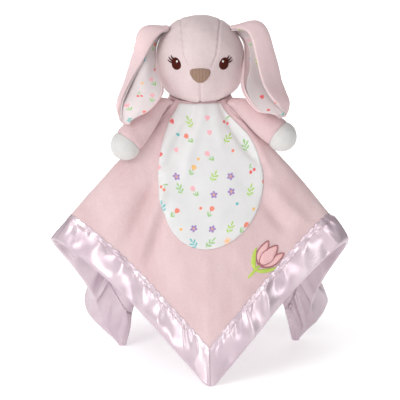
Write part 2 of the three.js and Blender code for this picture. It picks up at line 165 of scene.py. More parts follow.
def spread(n):
    """0..1 in n steps, closer together at both ends."""
    t = np.linspace(0, 1, n)
    return 0.5 * (0.5 - 0.5 * np.cos(math.pi * t)) + 0.5 * t


def linked(name, data):
    """A new object in the scene."""
    obj = bpy.data.objects.new(name, data)
    bpy.context.scene.collection.objects.link(obj)
    return obj


def make(name, verts, faces, material, uv):
    """A smooth mesh piece from neck-frame millimetres. uv is per vertex, in mm of cloth."""
    mesh = bpy.data.meshes.new(name)
    mesh.from_pydata(((np.asarray(verts, float) + SHIFT) * MM).tolist(), [], [list(f) for f in faces])
    layer = mesh.uv_layers.new(name="cloth")
    index = np.zeros(len(mesh.loops), int)
    mesh.loops.foreach_get("vertex_index", index)
    layer.data.foreach_set("uv", (np.asarray(uv, float) * MM)[index].ravel())
    mesh.polygons.foreach_set("use_smooth", [True] * len(mesh.polygons))
    mesh.materials.append(material)
    mesh.update()
    return linked(name, mesh)


def grid_faces(columns, rows, closed=False):
    """Quads of a grid of columns x rows points; closed joins the last column to the first."""
    i, j = np.meshgrid(np.arange(columns if closed else columns - 1), np.arange(rows - 1), indexing="ij")
    i, j = i.ravel(), j.ravel()
    n = (i + 1) % columns
    return np.stack([i * rows + j, n * rows + j, n * rows + j + 1, i * rows + j + 1], 1)


def shell(name, top, bottom, material, uv, closed=False, round_edge=0.0):
    """A closed sheet between two grids of points (columns, rows, 3); top is the side that shows.
    closed joins the last column to the first, and leaves the two other edges square. An open sheet gets
    a ring of points between its sides, pushed out by round_edge, so that the cut edge is rounded."""
    columns, rows = top.shape[:2]
    count = columns * rows
    verts = [top.reshape(-1, 3), bottom.reshape(-1, 3)]
    uvs = [uv.reshape(-1, 2)] * 2
    quads = grid_faces(columns, rows, closed)
    faces = [quads, quads[:, ::-1] + count]
    index = np.arange(count).reshape(columns, rows)
    if closed:
        for loop in (index[:, 0], index[::-1, -1]):
            follow = np.roll(loop, -1)
            faces.append(np.stack([follow, loop, loop + count, follow + count], 1))
    else:
        loop = np.concatenate([index[:, 0], index[-1, 1:], index[-2::-1, -1], index[0, -2:0:-1]])
        follow = np.roll(loop, -1)
        inner = np.clip(loop // rows, 1, columns - 2) * rows + np.clip(loop % rows, 1, rows - 2)
        edge = verts[0][loop]
        verts.append((edge + verts[1][loop]) / 2 - unit(verts[0][inner] - edge) * round_edge)
        uvs.append(uvs[0][loop])
        ring = np.arange(len(loop)) + 2 * count
        ring_follow = np.roll(ring, -1)
        faces.append(np.stack([follow, loop, ring, ring_follow], 1))
        faces.append(np.stack([ring_follow, ring, loop + count, follow + count], 1))
    return make(name, np.concatenate(verts), np.concatenate(faces).tolist(), material, np.concatenate(uvs))


def capped(name, grid, poles, material, uv, mirror=False):
    """A closed piece from rings of points (columns, rows, 3) and its two poles."""
    columns, rows = grid.shape[:2]
    faces = grid_faces(columns, rows, True).tolist()
    pole = columns * rows
    for i in range(columns):
        n = (i + 1) % columns
        faces.append([pole, n * rows, i * rows])
        faces.append([pole + 1, i * rows + rows - 1, n * rows + rows - 1])
    if mirror:
        faces = [f[::-1] for f in faces]
    return make(name, np.concatenate([grid.reshape(-1, 3), poles]), faces, material, uv)


def unrolled(columns, radius, run):
    """The uv of rings of points and their two poles: round the rings by radius, and run along them."""
    around = np.outer(turns(columns), np.broadcast_to(radius, run.shape))
    rings = np.stack([around, np.broadcast_to(run, around.shape)], -1).reshape(-1, 2)
    return np.concatenate([rings, [[0, 0], [0, run[-1]]]])


def tube(name, path, radius, material, sides=8):
    """A round thread along a line of points, with domed ends. radius is one number or one per point."""
    radius = np.broadcast_to(radius, len(path))
    tangent = unit(np.gradient(path, axis=0))
    side = np.cross(tangent[0], [0.3, 0.5, 0.8])
    angles, dome = turns(sides), 0.6
    grid = np.zeros((sides, len(path), 3))
    for k, ahead in enumerate(tangent):
        side = unit(side - ahead * np.dot(side, ahead))
        ring = np.outer(np.cos(angles), side) + np.outer(np.sin(angles), np.cross(ahead, side))
        grid[:, k] = path[k] + radius[k] * ring
    poles = [path[0] - tangent[0] * radius[0] * dome, path[-1] + tangent[-1] * radius[-1] * dome]
    return capped(name, grid, poles, material, unrolled(sides, radius, walk(path)))


def dress(obj, body, slot, *nodes):
    """Gives a piece the body that carries it, and hides the CAD parts that it stands for. slot is not used.
    A piece without a body here is left unattached."""
    if body:
        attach(obj, body)
    if nodes:
        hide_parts(*nodes)
    return obj


def carry(obj, start, end):
    """Bakes a piece's placement into its mesh; the two neck-frame points are not used."""
    (start + SHIFT) * MM
    (end + SHIFT) * MM
    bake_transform(obj)


# Material helpers
def linear(r, g, b):
    """An sRGB colour, 0..255, as a linear RGBA."""
    def channel(c):
        c = c / 255
        return c / 12.92 if c <= 0.04045 else ((c + 0.055) / 1.055) ** 2.4
    return channel(r), channel(g), channel(b), 1.0


def put(tree, value, socket):
    """Feeds a socket from a Value or another socket, or sets it to a constant."""
    source = value.socket if isinstance(value, Value) else value
    if isinstance(source, bpy.types.NodeSocket):
        tree.links.new(source, socket)
    else:
        socket.default_value = source


class Value:
    """A node's output, with arithmetic that adds Math nodes."""

    def __init__(self, tree, socket):
        self.tree = tree
        self.socket = socket

    def op(self, operation, *others, clamp=False):
        node = self.tree.nodes.new("ShaderNodeMath")
        node.operation = operation
        node.use_clamp = clamp
        for k, value in enumerate((self,) + others):
            put(self.tree, value, node.inputs[k])
        return Value(self.tree, node.outputs[0])

    def __add__(self, o): return self.op("ADD", o)
    def __sub__(self, o): return self.op("SUBTRACT", o)
    def __mul__(self, o): return self.op("MULTIPLY", o)
    def __truediv__(self, o): return self.op("DIVIDE", o)
    def __neg__(self): return self.op("MULTIPLY", -1.0)
    def sin(self): return self.op("SINE")
    def cos(self): return self.op("COSINE")
    def abs(self): return self.op("ABSOLUTE")
    def sqrt(self): return self.op("SQRT")
    def max(self, o): return self.op("MAXIMUM", o)
    def angle(self, x): return self.op("ARCTAN2", x)

    def below(self, limit, soft):
        """1 where this is under limit, 0 where it is over, with an edge as wide as soft."""
        return (-self + limit).op("DIVIDE", soft).op("ADD", 0.5, clamp=True)


class Material:
    """A procedural material with one Principled shader."""

    def __init__(self, name, **sockets):
        self.material = bpy.data.materials.new(name)
        self.material.use_nodes = True
        self.tree = self.material.node_tree
        self.shader = self.tree.nodes["Principled BSDF"]
        for key, value in sockets.items():
            self.shader.inputs[key.replace("_", " ")].default_value = value
        self.height = None

    def node(self, kind, **settings):
        node = self.tree.nodes.new(kind)
        for key, value in settings.items():
            setattr(node, key, value)
        return node

    def feed(self, node, **inputs):
        for key, value in inputs.items():
            put(self.tree, value, node.inputs[key])

    def uv(self):
        return self.node("ShaderNodeUVMap", uv_map="cloth").outputs[0]

    def xy(self, vector):
        node = self.node("ShaderNodeSeparateXYZ")
        put(self.tree, vector, node.inputs[0])
        return Value(self.tree, node.outputs[0]), Value(self.tree, node.outputs[1])

    def noise(self, vector, scale, detail, roughness, seed, stretch=None):
        """Smooth noise over the cloth. stretch scales its two directions."""
        if stretch is not None:
            mapping = self.node("ShaderNodeMapping")
            self.feed(mapping, Vector=vector, Scale=(*stretch, 1.0))
            vector = mapping.outputs[0]
        node = self.node("ShaderNodeTexNoise", noise_dimensions="4D")
        self.feed(node, Vector=vector, Scale=scale, Detail=detail, Roughness=roughness, W=seed)
        return Value(self.tree, node.outputs[0])

    def ramp(self, value, low, high, start=0.3, end=0.7):
        """A colour that goes from low to high as value goes from start to end."""
        node = self.node("ShaderNodeValToRGB")
        for stop, position, colour in zip(node.color_ramp.elements, (start, end), (low, high)):
            stop.position, stop.color = position, colour
        put(self.tree, value, node.inputs[0])
        return node.outputs[0]

    def mix(self, share, a, b):
        """The colour a, with b over it by a share."""
        node = self.node("ShaderNodeMix", data_type="RGBA")
        for value, k in ((share, 0), (a, 6), (b, 7)):
            put(self.tree, value, node.inputs[k])
        return node.outputs[2]

    def colour(self, socket):
        put(self.tree, socket, self.shader.inputs["Base Color"])

    def roughness(self, value):
        self.feed(self.shader, Roughness=value)

    def bump(self, height, strength, distance):
        """Adds to the relief. distance is the height in metres of a height value of 1."""
        node = self.node("ShaderNodeBump")
        self.feed(node, Strength=strength, Distance=distance, Height=height)
        if self.height is not None:
            self.feed(node, Normal=self.height)
        self.height = node.outputs[0]
        self.feed(self.shader, Normal=self.height)


def pile_cloth(name, light, dark, sheen=0.55, pile=0.35):
    """Short-pile velour or plush: brushed patches, fine pile grain and a soft sheen at grazing angles."""
    m = Material(name, Sheen_Weight=sheen, Sheen_Roughness=0.45, Sheen_Tint=(1.0, 0.93, 0.93, 1.0),
                 Specular_IOR_Level=0.12)
    uv = m.uv()
    brushed = m.noise(uv, 34.0, 3.0, 0.55, 0.3, (1.0, 0.45))
    grain = m.noise(uv, 1500.0, 2.0, 0.7, 1.7, (1.0, 0.55))
    tufts = m.noise(uv, 420.0, 2.0, 0.6, 5.1)
    tone = brushed * 0.55 + grain * 0.25 + tufts * 0.2
    m.colour(m.ramp(tone, dark, light, 0.36, 0.62))
    m.roughness(grain * 0.12 + 0.84)
    m.bump(tufts, 0.35, 0.0006)
    m.bump(grain, pile, 0.0005)
    return m.material


def satin_cloth(name, light, dark):
    """Smooth satin binding with a bright gloss and a faint weave along the strip."""
    m = Material(name, Metallic=0.3, Anisotropic=0.35, Specular_IOR_Level=0.75, Coat_Weight=0.25, Coat_Roughness=0.12,
                 Sheen_Weight=0.15, Sheen_Roughness=0.3, Sheen_Tint=(1.0, 0.96, 0.98, 1.0), IOR=1.55)
    uv = m.uv()
    thread = m.noise(uv, 1500.0, 1.0, 0.5, 0.9, (0.08, 1.0))
    broad = m.noise(uv, 26.0, 2.0, 0.5, 2.3)
    m.colour(m.ramp(broad * 0.9 + thread * 0.1, dark, light, 0.35, 0.65))
    m.roughness(thread * 0.02 + broad * 0.08 + 0.21)
    m.bump(thread, 0.03, 0.00002)
    return m.material


def knit_bump(m, uv):
    """Fine jersey columns with alternate stitches."""
    column_rate = 1150.0 * 2 * math.pi
    x, y = m.xy(uv)
    column = (x * column_rate).sin().abs()
    stitch = (y * (column_rate * 1.3) + column * 1.5).sin() * 0.5 + 0.5
    m.bump(column * 0.7 + stitch * 0.3, 0.3, 0.00012)


WHITE = linear(230, 229, 229)
INKS = {
    "coral": linear(243, 128, 100), "teal": linear(96, 190, 192), "lime": linear(176, 214, 96),
    "honey": linear(247, 192, 110), "plum": linear(158, 124, 190), "rose": linear(246, 178, 186),
    "red": linear(236, 92, 92), "leaf": linear(150, 200, 120), "peach": linear(250, 205, 170),
}


def printed_jersey(name, cell, ground, seed, size):
    """White jersey with a scattered print of small tulips, daisies, sprigs, hearts, berries and dots. One motif
    lies in each cell, cell metres wide, and is drawn in units of size mm."""
    m = Material(name, Sheen_Weight=0.25, Sheen_Roughness=0.5, Sheen_Tint=(1.0, 1.0, 1.0, 1.0),
                 Specular_IOR_Level=0.15)
    uv = m.uv()
    x0, y0 = m.xy(uv)
    cells = m.node("ShaderNodeTexVoronoi", voronoi_dimensions="2D", feature="F1")
    across, down = x0 / cell + seed, y0 / cell + seed * 0.7
    place = m.node("ShaderNodeCombineXYZ")
    m.feed(place, X=across, Y=down)
    m.feed(cells, Vector=place.outputs[0], Scale=1.0, Randomness=0.5)
    cx, cy = m.xy(cells.outputs["Position"])
    pick = m.node("ShaderNodeSeparateColor")
    put(m.tree, cells.outputs["Color"], pick.inputs[0])
    kind, hue, tilt = (Value(m.tree, pick.outputs[k]) for k in range(3))
    turn = tilt * 1.6 - 0.8
    dx, dy = (across - cx) * cell, (down - cy) * cell
    x = (dx * turn.cos() + dy * turn.sin()) * (1000.0 / size)
    y = (dy * turn.cos() - dx * turn.sin()) * (1000.0 / size)
    r = (x * x + y * y).sqrt()
    theta = y.angle(x)

    def leaf(px, py, lean, rx, ry):
        """An ellipse at (px, py) that leans to the left by an angle."""
        c, q = math.cos(lean), math.sin(lean)
        a = ((x - px) * c + (y - py) * q) / rx
        b = ((y - py) * c - (x - px) * q) / ry
        return (a * a + b * b).below(1.0, 0.16)

    def between(low, high):
        """1 in the cells whose kind lies between the two: each motif has a share of the cells."""
        return kind.op("GREATER_THAN", low) * kind.op("LESS_THAN", high)

    def varied(*names):
        """One of two or three inks, by the cell's hue."""
        colour = m.mix(hue.op("GREATER_THAN", 0.5), INKS[names[0]], INKS[names[1]])
        return m.mix(hue.op("GREATER_THAN", 0.76), colour, INKS[names[2]]) if len(names) > 2 else colour

    layers = []
    # tulip: a cup with three points, a stem and two leaves
    tulip = between(0.0, 0.22)
    stem = x.abs().below(0.17, 0.14) * y.below(0.2, 0.1) * (-y).below(3.2, 0.1)
    green = stem.max(leaf(-0.75, -1.9, 0.5, 0.36, 1.15)).max(leaf(0.72, -2.2, -0.5, 0.34, 1.0))
    cup = leaf(0.0, 1.2, 0.0, 1.2, 1.45) * (y - (x * 2.7).cos().abs() * 0.6).below(1.75, 0.2)
    layers.append((green * tulip, INKS["leaf"]))
    layers.append((cup * tulip, varied("coral", "rose", "honey")))
    # daisy: five petals round a middle
    daisy = between(0.22, 0.38)
    petals = (r - (theta * 2.5).cos().abs() * 0.9).below(0.95, 0.2)
    layers.append((petals * daisy, varied("plum", "teal", "peach")))
    layers.append((r.below(0.5, 0.12) * daisy, INKS["honey"]))
    # sprig: a stem with five leaves
    sprig = between(0.38, 0.58)
    twig = x.abs().below(0.14, 0.12) * y.abs().below(2.7, 0.1)
    for px, py, lean, ry in ((-0.95, 0.5, 0.75, 1.1), (0.95, 0.9, -0.75, 1.1), (0.0, 2.4, 0.0, 1.1),
                             (-0.9, -1.3, 0.85, 0.9), (0.9, -0.9, -0.85, 0.9)):
        twig = twig.max(leaf(px, py, lean, 0.42, ry))
    layers.append((twig * sprig, varied("lime", "teal", "leaf")))
    # heart
    heart = between(0.58, 0.68)
    hx, hy = x.abs() / 1.35, y / 1.35
    rise = hy - hx.sqrt() * 0.62
    layers.append(((hx * hx + rise * rise).below(0.72, 0.12) * heart, varied("red", "rose")))
    # berries: two on forked stalks
    berry = between(0.68, 0.82)
    stalks = leaf(-0.45, 0.5, -0.35, 0.13, 1.2).max(leaf(0.5, 0.4, 0.42, 0.13, 1.2))
    layers.append((stalks.max(leaf(0.55, 1.7, -1.0, 0.38, 0.9)) * berry, INKS["leaf"]))
    layers.append((leaf(-0.9, -0.9, 0.0, 0.75, 0.8).max(leaf(1.0, -1.1, 0.0, 0.7, 0.75)) * berry,
                   varied("red", "coral")))
    # dots
    layers.append((r.below(0.75, 0.15) * between(0.82, 1.01), varied("honey", "coral", "teal")))
    ground_tone = m.noise(uv, 60.0, 2.0, 0.5, 4.2)
    colour = m.ramp(ground_tone, tuple(0.93 * c for c in ground[:3]) + (1.0,), ground, 0.3, 0.7)
    fade = m.noise(uv, 700.0, 2.0, 0.6, 0.4) * 0.7 + 0.55
    for mask, ink in layers:
        colour = m.mix(mask * fade, colour, ink)
    m.colour(colour)
    m.roughness(ground_tone * 0.1 + 0.78)
    knit_bump(m, uv)
    m.bump(m.noise(uv, 1300.0, 2.0, 0.6, 7.7), 0.2, 0.0003)
    return m.material


def thread_cloth(name, light, dark, pitch, across=True, gloss=0.36, depth=0.0002, shine=0.3):
    """Laid embroidery thread: parallel glossy stitches, pitch metres apart."""
    m = Material(name, Specular_IOR_Level=shine, Sheen_Weight=0.3 * shine, Anisotropic=0.3)
    uv = m.uv()
    x, y = m.xy(uv)
    wander = m.noise(uv, 240.0, 1.0, 0.5, 3.3)
    ridge = (((x if across else y) / pitch + wander * 0.8) * math.pi).sin().abs()
    # the grooves between the stitches are painted darker than their crests: painted shade, with some random tone from
    # wander
    m.colour(m.ramp(ridge * 0.7 + wander * 0.3, dark, light, 0.15, 0.75))
    m.roughness(-ridge * 0.12 + gloss + 0.1)
    m.bump(ridge, 0.6, depth)
    return m.material


def plain_stuff(name, light, dark):
    """Loose polyester filling."""
    m = Material(name, Sheen_Weight=0.3, Specular_IOR_Level=0.1)
    tone = m.noise(m.uv(), 300.0, 3.0, 0.6, 0.5)
    m.colour(m.ramp(tone, dark, light))
    m.roughness(tone * 0.1 + 0.85)
    m.bump(tone, 0.5, 0.001)
    return m.material


pink_velour = pile_cloth("pink_velour", linear(230, 204, 205), linear(214, 182, 185))
head_plush = pile_cloth("head_plush", linear(229, 211, 211), linear(211, 190, 192), 0.5, 0.4)
# the ears' velour is the blanket's velour painted lighter: painted light where the lamps reach the ears less
ear_velour_painted_light = pile_cloth("ear_velour_painted_light", linear(238, 214, 215), linear(224, 194, 197))
paw_plush = pile_cloth("paw_plush", linear(224, 222, 220), linear(206, 204, 202), 0.5, 0.4)
pink_satin = satin_cloth("pink_satin", linear(216, 198, 206), linear(194, 172, 184))
belly_print = printed_jersey("belly_print", 0.0150, WHITE, 3.0, 1.75)
ear_print = printed_jersey("ear_print", 0.0160, linear(228, 216, 217), 11.0, 1.6)
# each thread's second colour is the painted shade in the grooves between its stitches
pink_thread = thread_cloth("pink_thread", linear(236, 200, 202), linear(196, 150, 156), pitch=0.0004)
white_thread = thread_cloth("white_thread", linear(255, 255, 255), linear(225, 222, 220), pitch=0.0004)
seam_thread = thread_cloth("seam_thread", linear(226, 196, 198), linear(180, 148, 154), pitch=0.0004)
eye_thread = thread_cloth("eye_thread", linear(84, 22, 8), linear(34, 7, 2), pitch=0.0006, gloss=0.5, shine=0.1)
nose_thread = thread_cloth("nose_thread", linear(170, 138, 119), linear(112, 82, 66), pitch=0.0011, depth=0.0005)
rose_thread = thread_cloth("rose_thread", linear(196, 128, 134), linear(140, 78, 86), across=False, pitch=0.0005)
fill_thread = thread_cloth("fill_thread", linear(250, 206, 206), linear(226, 164, 166), pitch=0.0005)
leaf_thread = thread_cloth("leaf_thread", linear(206, 228, 104), linear(150, 186, 58), pitch=0.0005)
filling = plain_stuff("filling", linear(252, 252, 248), linear(236, 236, 230))


# The blanket's surface: u runs round the square, one side for each whole number, and s from the neck to the edge
def on_square(u):
    """The side, the share of it, and the direction and distance from the middle of a place on the flat edge."""
    side = np.floor(u).astype(int) % 4
    share = u - np.floor(u)
    turn = (side - 1) * math.pi / 2
    flat_x = (np.cos(turn) * (1 - share) + np.cos(turn + math.pi / 2) * share) * HALF
    flat_y = (np.sin(turn) * (1 - share) + np.sin(turn + math.pi / 2) * share) * HALF
    return side, share, np.arctan2(flat_y, flat_x), np.hypot(flat_x, flat_y)


def edge_share(u):
    """How far along s the cut edge lies, with its corner rounded off."""
    _, share, _, reach = on_square(u)
    across = np.minimum(share, 1 - share) * SIDE / math.sqrt(2)
    centre = HALF - CORNER_R * math.sqrt(2)
    sine = across / reach
    rounded = centre * np.sqrt(1 - sine ** 2) + np.sqrt(np.maximum(CORNER_R ** 2 - (centre * sine) ** 2, 0))
    found = np.minimum(1, (rounded - NECK_HOLE) / (reach - NECK_HOLE))
    return np.where(across >= CORNER_R / math.sqrt(2), 1.0, found)


def inset_share(u, inset):
    """How far along s a line lies that runs inset mm inside the flat square's edge."""
    reach = on_square(u)[3]
    return (reach * (1 - 2 * inset / SIDE) - NECK_HOLE) / (reach - NECK_HOLE)


THICK = VELOUR + LAYER_GAP + BACKING
TIP = float(edge_share(np.array([0.0]))[0])
CORNER_Z = (0.15 * THICK - SEAT_DEPTH - (NECK_Z - NECK_DIP) * (1 - TIP)) / TIP
HEMS = []
for k in range(4):
    a, b = (np.array((*CORNERS[(k + d) % 4], CORNER_Z)) for d in (0, 1))
    peak = np.array(PEAKS[k], float)
    HEMS.append(np.array([a, (a + peak) / 2 + SWELLS[k][0], peak, (peak + b) / 2 + SWELLS[k][1], b]))

# The cloth is drawn up to the head's seam: mm at the sides, mm more at the front and back, and how far in s.
NECK_LIFT, NECK_LIFT_MORE, NECK_LIFT_REACH = 0.7, 1.8, 0.035


def cloth_base(u, s):
    """The blanket's surface as the CAD model has it, neck-frame mm. u and s are flat arrays."""
    side, share, angle, _ = on_square(u)
    cosine, sine = np.cos(angle), np.sin(angle)
    neck = np.stack([NECK_HALF_X * cosine, NECK_HALF_Y * sine, NECK_Z - NECK_DIP * np.abs(sine)], 1)
    hem = np.zeros_like(neck)
    for k in range(4):
        here = side == k
        if here.any():
            hem[here] = catmull(HEMS[k], share[here])
    point = neck * (1 - s[:, None]) + hem * s[:, None]
    half_side = np.minimum(share, 1 - share) * 2
    is_front = -sine > math.sqrt(0.5) - 1e-9
    body = arch(s)
    depth = np.where((side == 0) | (side == 3), FRONT_FOLD, BACK_FOLD)
    fold = depth * s ** 2 * np.sin(2 * math.pi * half_side) * np.sin(math.pi * half_side)
    bulge = np.where(is_front, FRONT_BULGE * body * np.cos(2 * angle + math.pi), 0)
    out = fold + np.maximum(0, bulge)
    under_arm = bell(s * (HALF - NECK_HOLE) - DIP_AT, DIP_REACH)
    ridge = RIDGE[side] * body - np.where(is_front, SHOULDER_DIP, 0) * under_arm
    drawn_up = (NECK_LIFT + NECK_LIFT_MORE * np.abs(sine)) * bell(s, NECK_LIFT_REACH)
    return point + np.stack([cosine * out, sine * out, np.sin(math.pi * share) ** 6 * ridge + drawn_up], 1)


# The photograph: mm to a pixel, the pixels of its middle and of the front corner's tip, and how much of a height
# and of a depth its slanting view shows
PX_MM, MIDDLE_PX, TIP_PX = 0.875, 200, 383.5
VIEW_UP, VIEW_AWAY = 0.966, 0.259


def to_pixels(point):
    """About where a neck-frame point falls in the photograph."""
    rise = point[:, 2] * VIEW_UP + (point[:, 1] - CORNERS[0][1]) * VIEW_AWAY
    return MIDDLE_PX + point[:, 0] / PX_MM, TIP_PX - rise / PX_MM


def line_distance(px, py, points):
    """Distance to a broken line, and the share of its length at the nearest place."""
    points = np.asarray(points, float)
    lengths = np.linalg.norm(np.diff(points, axis=0), axis=1)
    total, walked = lengths.sum(), 0.0
    best, share = np.full(px.shape, 1e9), np.zeros(px.shape)
    for a, b, length in zip(points[:-1], points[1:], lengths):
        d = (b - a) / length
        t = np.clip((px - a[0]) * d[0] + (py - a[1]) * d[1], 0, length)
        gap = np.hypot(px - a[0] - d[0] * t, py - a[1] - d[1] * t)
        nearer = gap < best
        best, share = np.where(nearer, gap, best), np.where(nearer, (walked + t) / total, share)
        walked += length
    return best, share


# Folds of the front, by the photograph's pixels: line, half width in px, height in mm.
FRONT_FOLDS = [
    ([(196, 103), (189, 122), (176, 146), (168, 168)], 4.5, -4.2),
    ([(203, 104), (200, 124), (191, 150), (184, 178)], 5.5, 2.6),
    ([(219, 105), (229, 126), (243, 147), (257, 163)], 4.0, -4.2),
    ([(228, 102), (241, 124), (256, 148), (270, 172)], 4.5, 2.6),
    ([(212, 104), (216, 126), (222, 150)], 5.0, 1.1),
    ([(158, 182), (144, 208), (124, 246)], 6.0, -5.8),
    ([(170, 172), (156, 212), (140, 258)], 6.0, 4.2),
    ([(163, 216), (157, 236), (148, 262)], 4.5, -4.4),
    ([(146, 178), (128, 206), (102, 232)], 7.0, 2.6),
    ([(263, 202), (272, 214), (284, 228)], 5.5, -4.0),
    ([(270, 188), (288, 208), (308, 226)], 6.5, 2.6),
    ([(172, 104), (150, 128), (132, 160), (104, 196)], 8.0, 1.6),
    ([(176, 112), (160, 140), (146, 168)], 6.0, -1.8),
    ([(210, 262), (212, 300), (212, 340)], 12.0, 1.6),
    ([(232, 262), (246, 280), (262, 292)], 8.0, -1.3),
]
# Soft waves all over the cloth: size mm, height mm, seed, and how fast they set in along s
WAVES = [(34, 0.9, 3, 2), (13, 0.35, 8, 3)]
# The photographed folds fade out where the front turns away: at this sine of the direction, and how fast
FRONT_FROM, FRONT_RATE = 0.62, 22
# Gathers below the neck: height mm, how far they reach in s, and the s below which they are flat
GATHER_RISE, GATHER_REACH, GATHER_START = 1.1, 0.10, 0.02


def flat_place(u, s):
    """Where a place on the cloth lies on the flat square, mm from its middle."""
    _, _, angle, reach = on_square(u)
    flat = NECK_HOLE + s * (reach - NECK_HOLE)
    return np.stack([flat * np.cos(angle), flat * np.sin(angle)], -1)


def relief(u, s, point):
    """Height of the folds and soft waves above the CAD surface, mm."""
    angle = on_square(u)[2]
    px, py = to_pixels(point)
    front = 1 / (1 + np.exp(-(-np.sin(angle) - FRONT_FROM) * FRONT_RATE))
    height = np.zeros(len(u))
    for line, width, rise in FRONT_FOLDS:
        gap, along = line_distance(px, py, line)
        ends = arch(along * 0.9 + 0.05) ** 0.5
        height += front * rise * bell(gap, width) * ends
    flat_x, flat_y = flat_place(u, s).T
    for size, rise, seed, onset in WAVES:
        height += rise * noise2(flat_x / size, flat_y / size, seed) * held(s * onset)
    gathers = GATHER_RISE * bell(s, GATHER_REACH) * (1 - bell(s, GATHER_START))
    return height + gathers * np.sin(angle * 17 + 2 * np.sin(angle * 3)) * (1 - 0.6 * front)


def cloth_point(u, s, offset):
    """The dressed blanket's surface, moved out by offset mm along its own direction."""
    u, s = (np.asarray(a, float).ravel() for a in np.broadcast_arrays(u, s))
    point = cloth_base(u, s)
    along = cloth_base(u + STEP, s) - cloth_base(u - STEP, s)
    down = cloth_base(u, s + STEP) - cloth_base(u, s - STEP)
    return point + unit(np.cross(down, along)) * (relief(u, s, point) + offset)[:, None]


def cloth_grid(u, s, offset):
    """The same for a grid of surface coordinates, (columns, rows)."""
    return cloth_point(u, s, np.broadcast_to(offset, u.shape).ravel()).reshape(*u.shape, 3)


# The velour face, and the satin lining under it
columns, rows = 4 * 60 * FINE, 84 * FINE
u = np.repeat(np.arange(columns)[:, None] * 4 / columns, rows, 1)
s = (inset_share(u, BORDER) - HEM_GAP / (on_square(u)[3] - NECK_HOLE)) * np.linspace(0, 1, rows)
uv = flat_place(u, s)
velour = shell("velour_face", cloth_grid(u, s, 0.0), cloth_grid(u, s, -VELOUR), pink_velour, uv, closed=True)
dress(velour, "blanket", "velour", "blanket_face")

# the lining starts a little below the head's seam, clear of the head when it tips back, and hangs a little loose
LINING_START, LINING_SAG = 0.03, 1.5
s = LINING_START + s * (1 - LINING_START / s[:, -1:])
sag = 1 + noise2(uv[..., 0] / 15, uv[..., 1] / 15, 51) + 0.5 * noise2(uv[..., 0] / 8, uv[..., 1] / 8, 52)
sag *= LINING_SAG * held(s * 3) * held((s[:, -1:] - s) / 0.06)
backing = shell("satin_lining", cloth_grid(u, s, -VELOUR - LAYER_GAP - sag), cloth_grid(u, s, -THICK - sag),
                pink_satin, uv, closed=True)
dress(backing, "blanket", "satin", "satin_backing")


# Satin binding
STRIPS = ["border_front_right", "border_back_right", "border_back_left", "border_front_left"]
strip_columns, strip_rows = 190 * FINE, 9 * FINE + 1
CREASE_PITCH = 8.6
# How far a crease reaches across the strip, its width in mm and its height in mm, each from and to
LONG_CREASE = ((0.8, 1.3), (4.2, 7.4), (1.3, 2.5))
SHORT_CREASE = ((0.14, 0.34), (1.8, 2.8), (0.25, 0.6))
PUCKERS, PUCKER_WIDTH = 14, 5.0
# How far the scallops of the strip's inner edge reach over the velour, as a share of the strip's width
SCALLOP = 0.05
# Heights over the velour: of the strip's edges, how much higher its middle is, of its start on the velour, and
# how far the turned edge drops
STRIP_RISE, STRIP_DOME, STRIP_START, TURNED = 0.45, 0.5, 0.30, 0.8
# Its inner side: how far creases push it in, and how thin the strip may get
INNER_CREASE, THINNEST = 1.7, 1.6
# The rows that lie over the velour's edge and hide the join, where the strip's own rows start, and the gap
# between two strips at a corner, in mm
COVER_ROWS, FIRST_ROW, MITRE_GAP = (-0.085, -0.062), -0.04, 0.3
# The binding stays at least this high over the floor.
LOWEST = 0.5


def creases(side, run, across):
    """Soft crisp creases that cross a satin strip: run is mm along it, across is 0 at the seam, 1 at the fold."""
    dice = np.random.default_rng(40 + side)
    height = 1.3 * noise2(run / 26, across * 1.3 + side, 11 + side) * arch(across) ** 0.5
    places = np.arange(6, SIDE - 4, CREASE_PITCH)
    for n, at in enumerate(places + dice.uniform(-2.4, 2.4, len(places))):
        slant, bow, lean = dice.uniform(-0.55, 0.55), dice.uniform(-3.5, 3.5), dice.uniform(0.7, 1.3)
        reach, width, rise = [dice.uniform(*span) for span in (SHORT_CREASE if n % 3 else LONG_CREASE)]
        rise *= -1 if dice.random() < 0.3 else 1
        off = run - at - slant * BORDER * across - bow * np.sin(math.pi * across)
        side_width = width * np.where(off > 0, lean, 1 / lean) * (1 + 0.5 * across)
        height = height + rise * np.exp(-np.abs(off / side_width) ** 1.6) * np.exp(-(across / reach) ** 4)
    for at in dice.uniform(5, SIDE - 5, PUCKERS):
        off = run - at + dice.uniform(-12, 12) * (1 - across)
        height = height + dice.uniform(-0.9, 0.9) * bell(off, PUCKER_WIDTH) * bell(1 - across, 0.5)
    return height


def strip_rise(side, share, across):
    """Heights of a satin strip's outer and inner sides over the surface."""
    wave = creases(side, share * SIDE, across)
    ends = held(np.minimum(share, 1 - share) * SIDE / 6.0)
    full = STRIP_RISE + STRIP_DOME * arch(across) ** 0.6
    close = held((1 - held(across)) / 0.06) ** 0.5
    start = np.clip((across + 0.1) / 0.12, 0.25, 1)
    top = np.maximum((full + wave * (0.15 + 0.85 * ends)) * close, 0.0) * start + 0.2 * (wave < 0) * wave * close
    top = np.maximum(top, STRIP_START * (across < 0.1) - (across > 0.9) * TURNED)
    inner = creases(side + 4, share * SIDE, across)
    low = np.minimum(top, 0) - THICK - (0.5 * full + INNER_CREASE * np.maximum(inner, 0) * ends) * close
    return top, np.where(across < -0.05, 0.06, np.minimum(low, top - THINNEST))


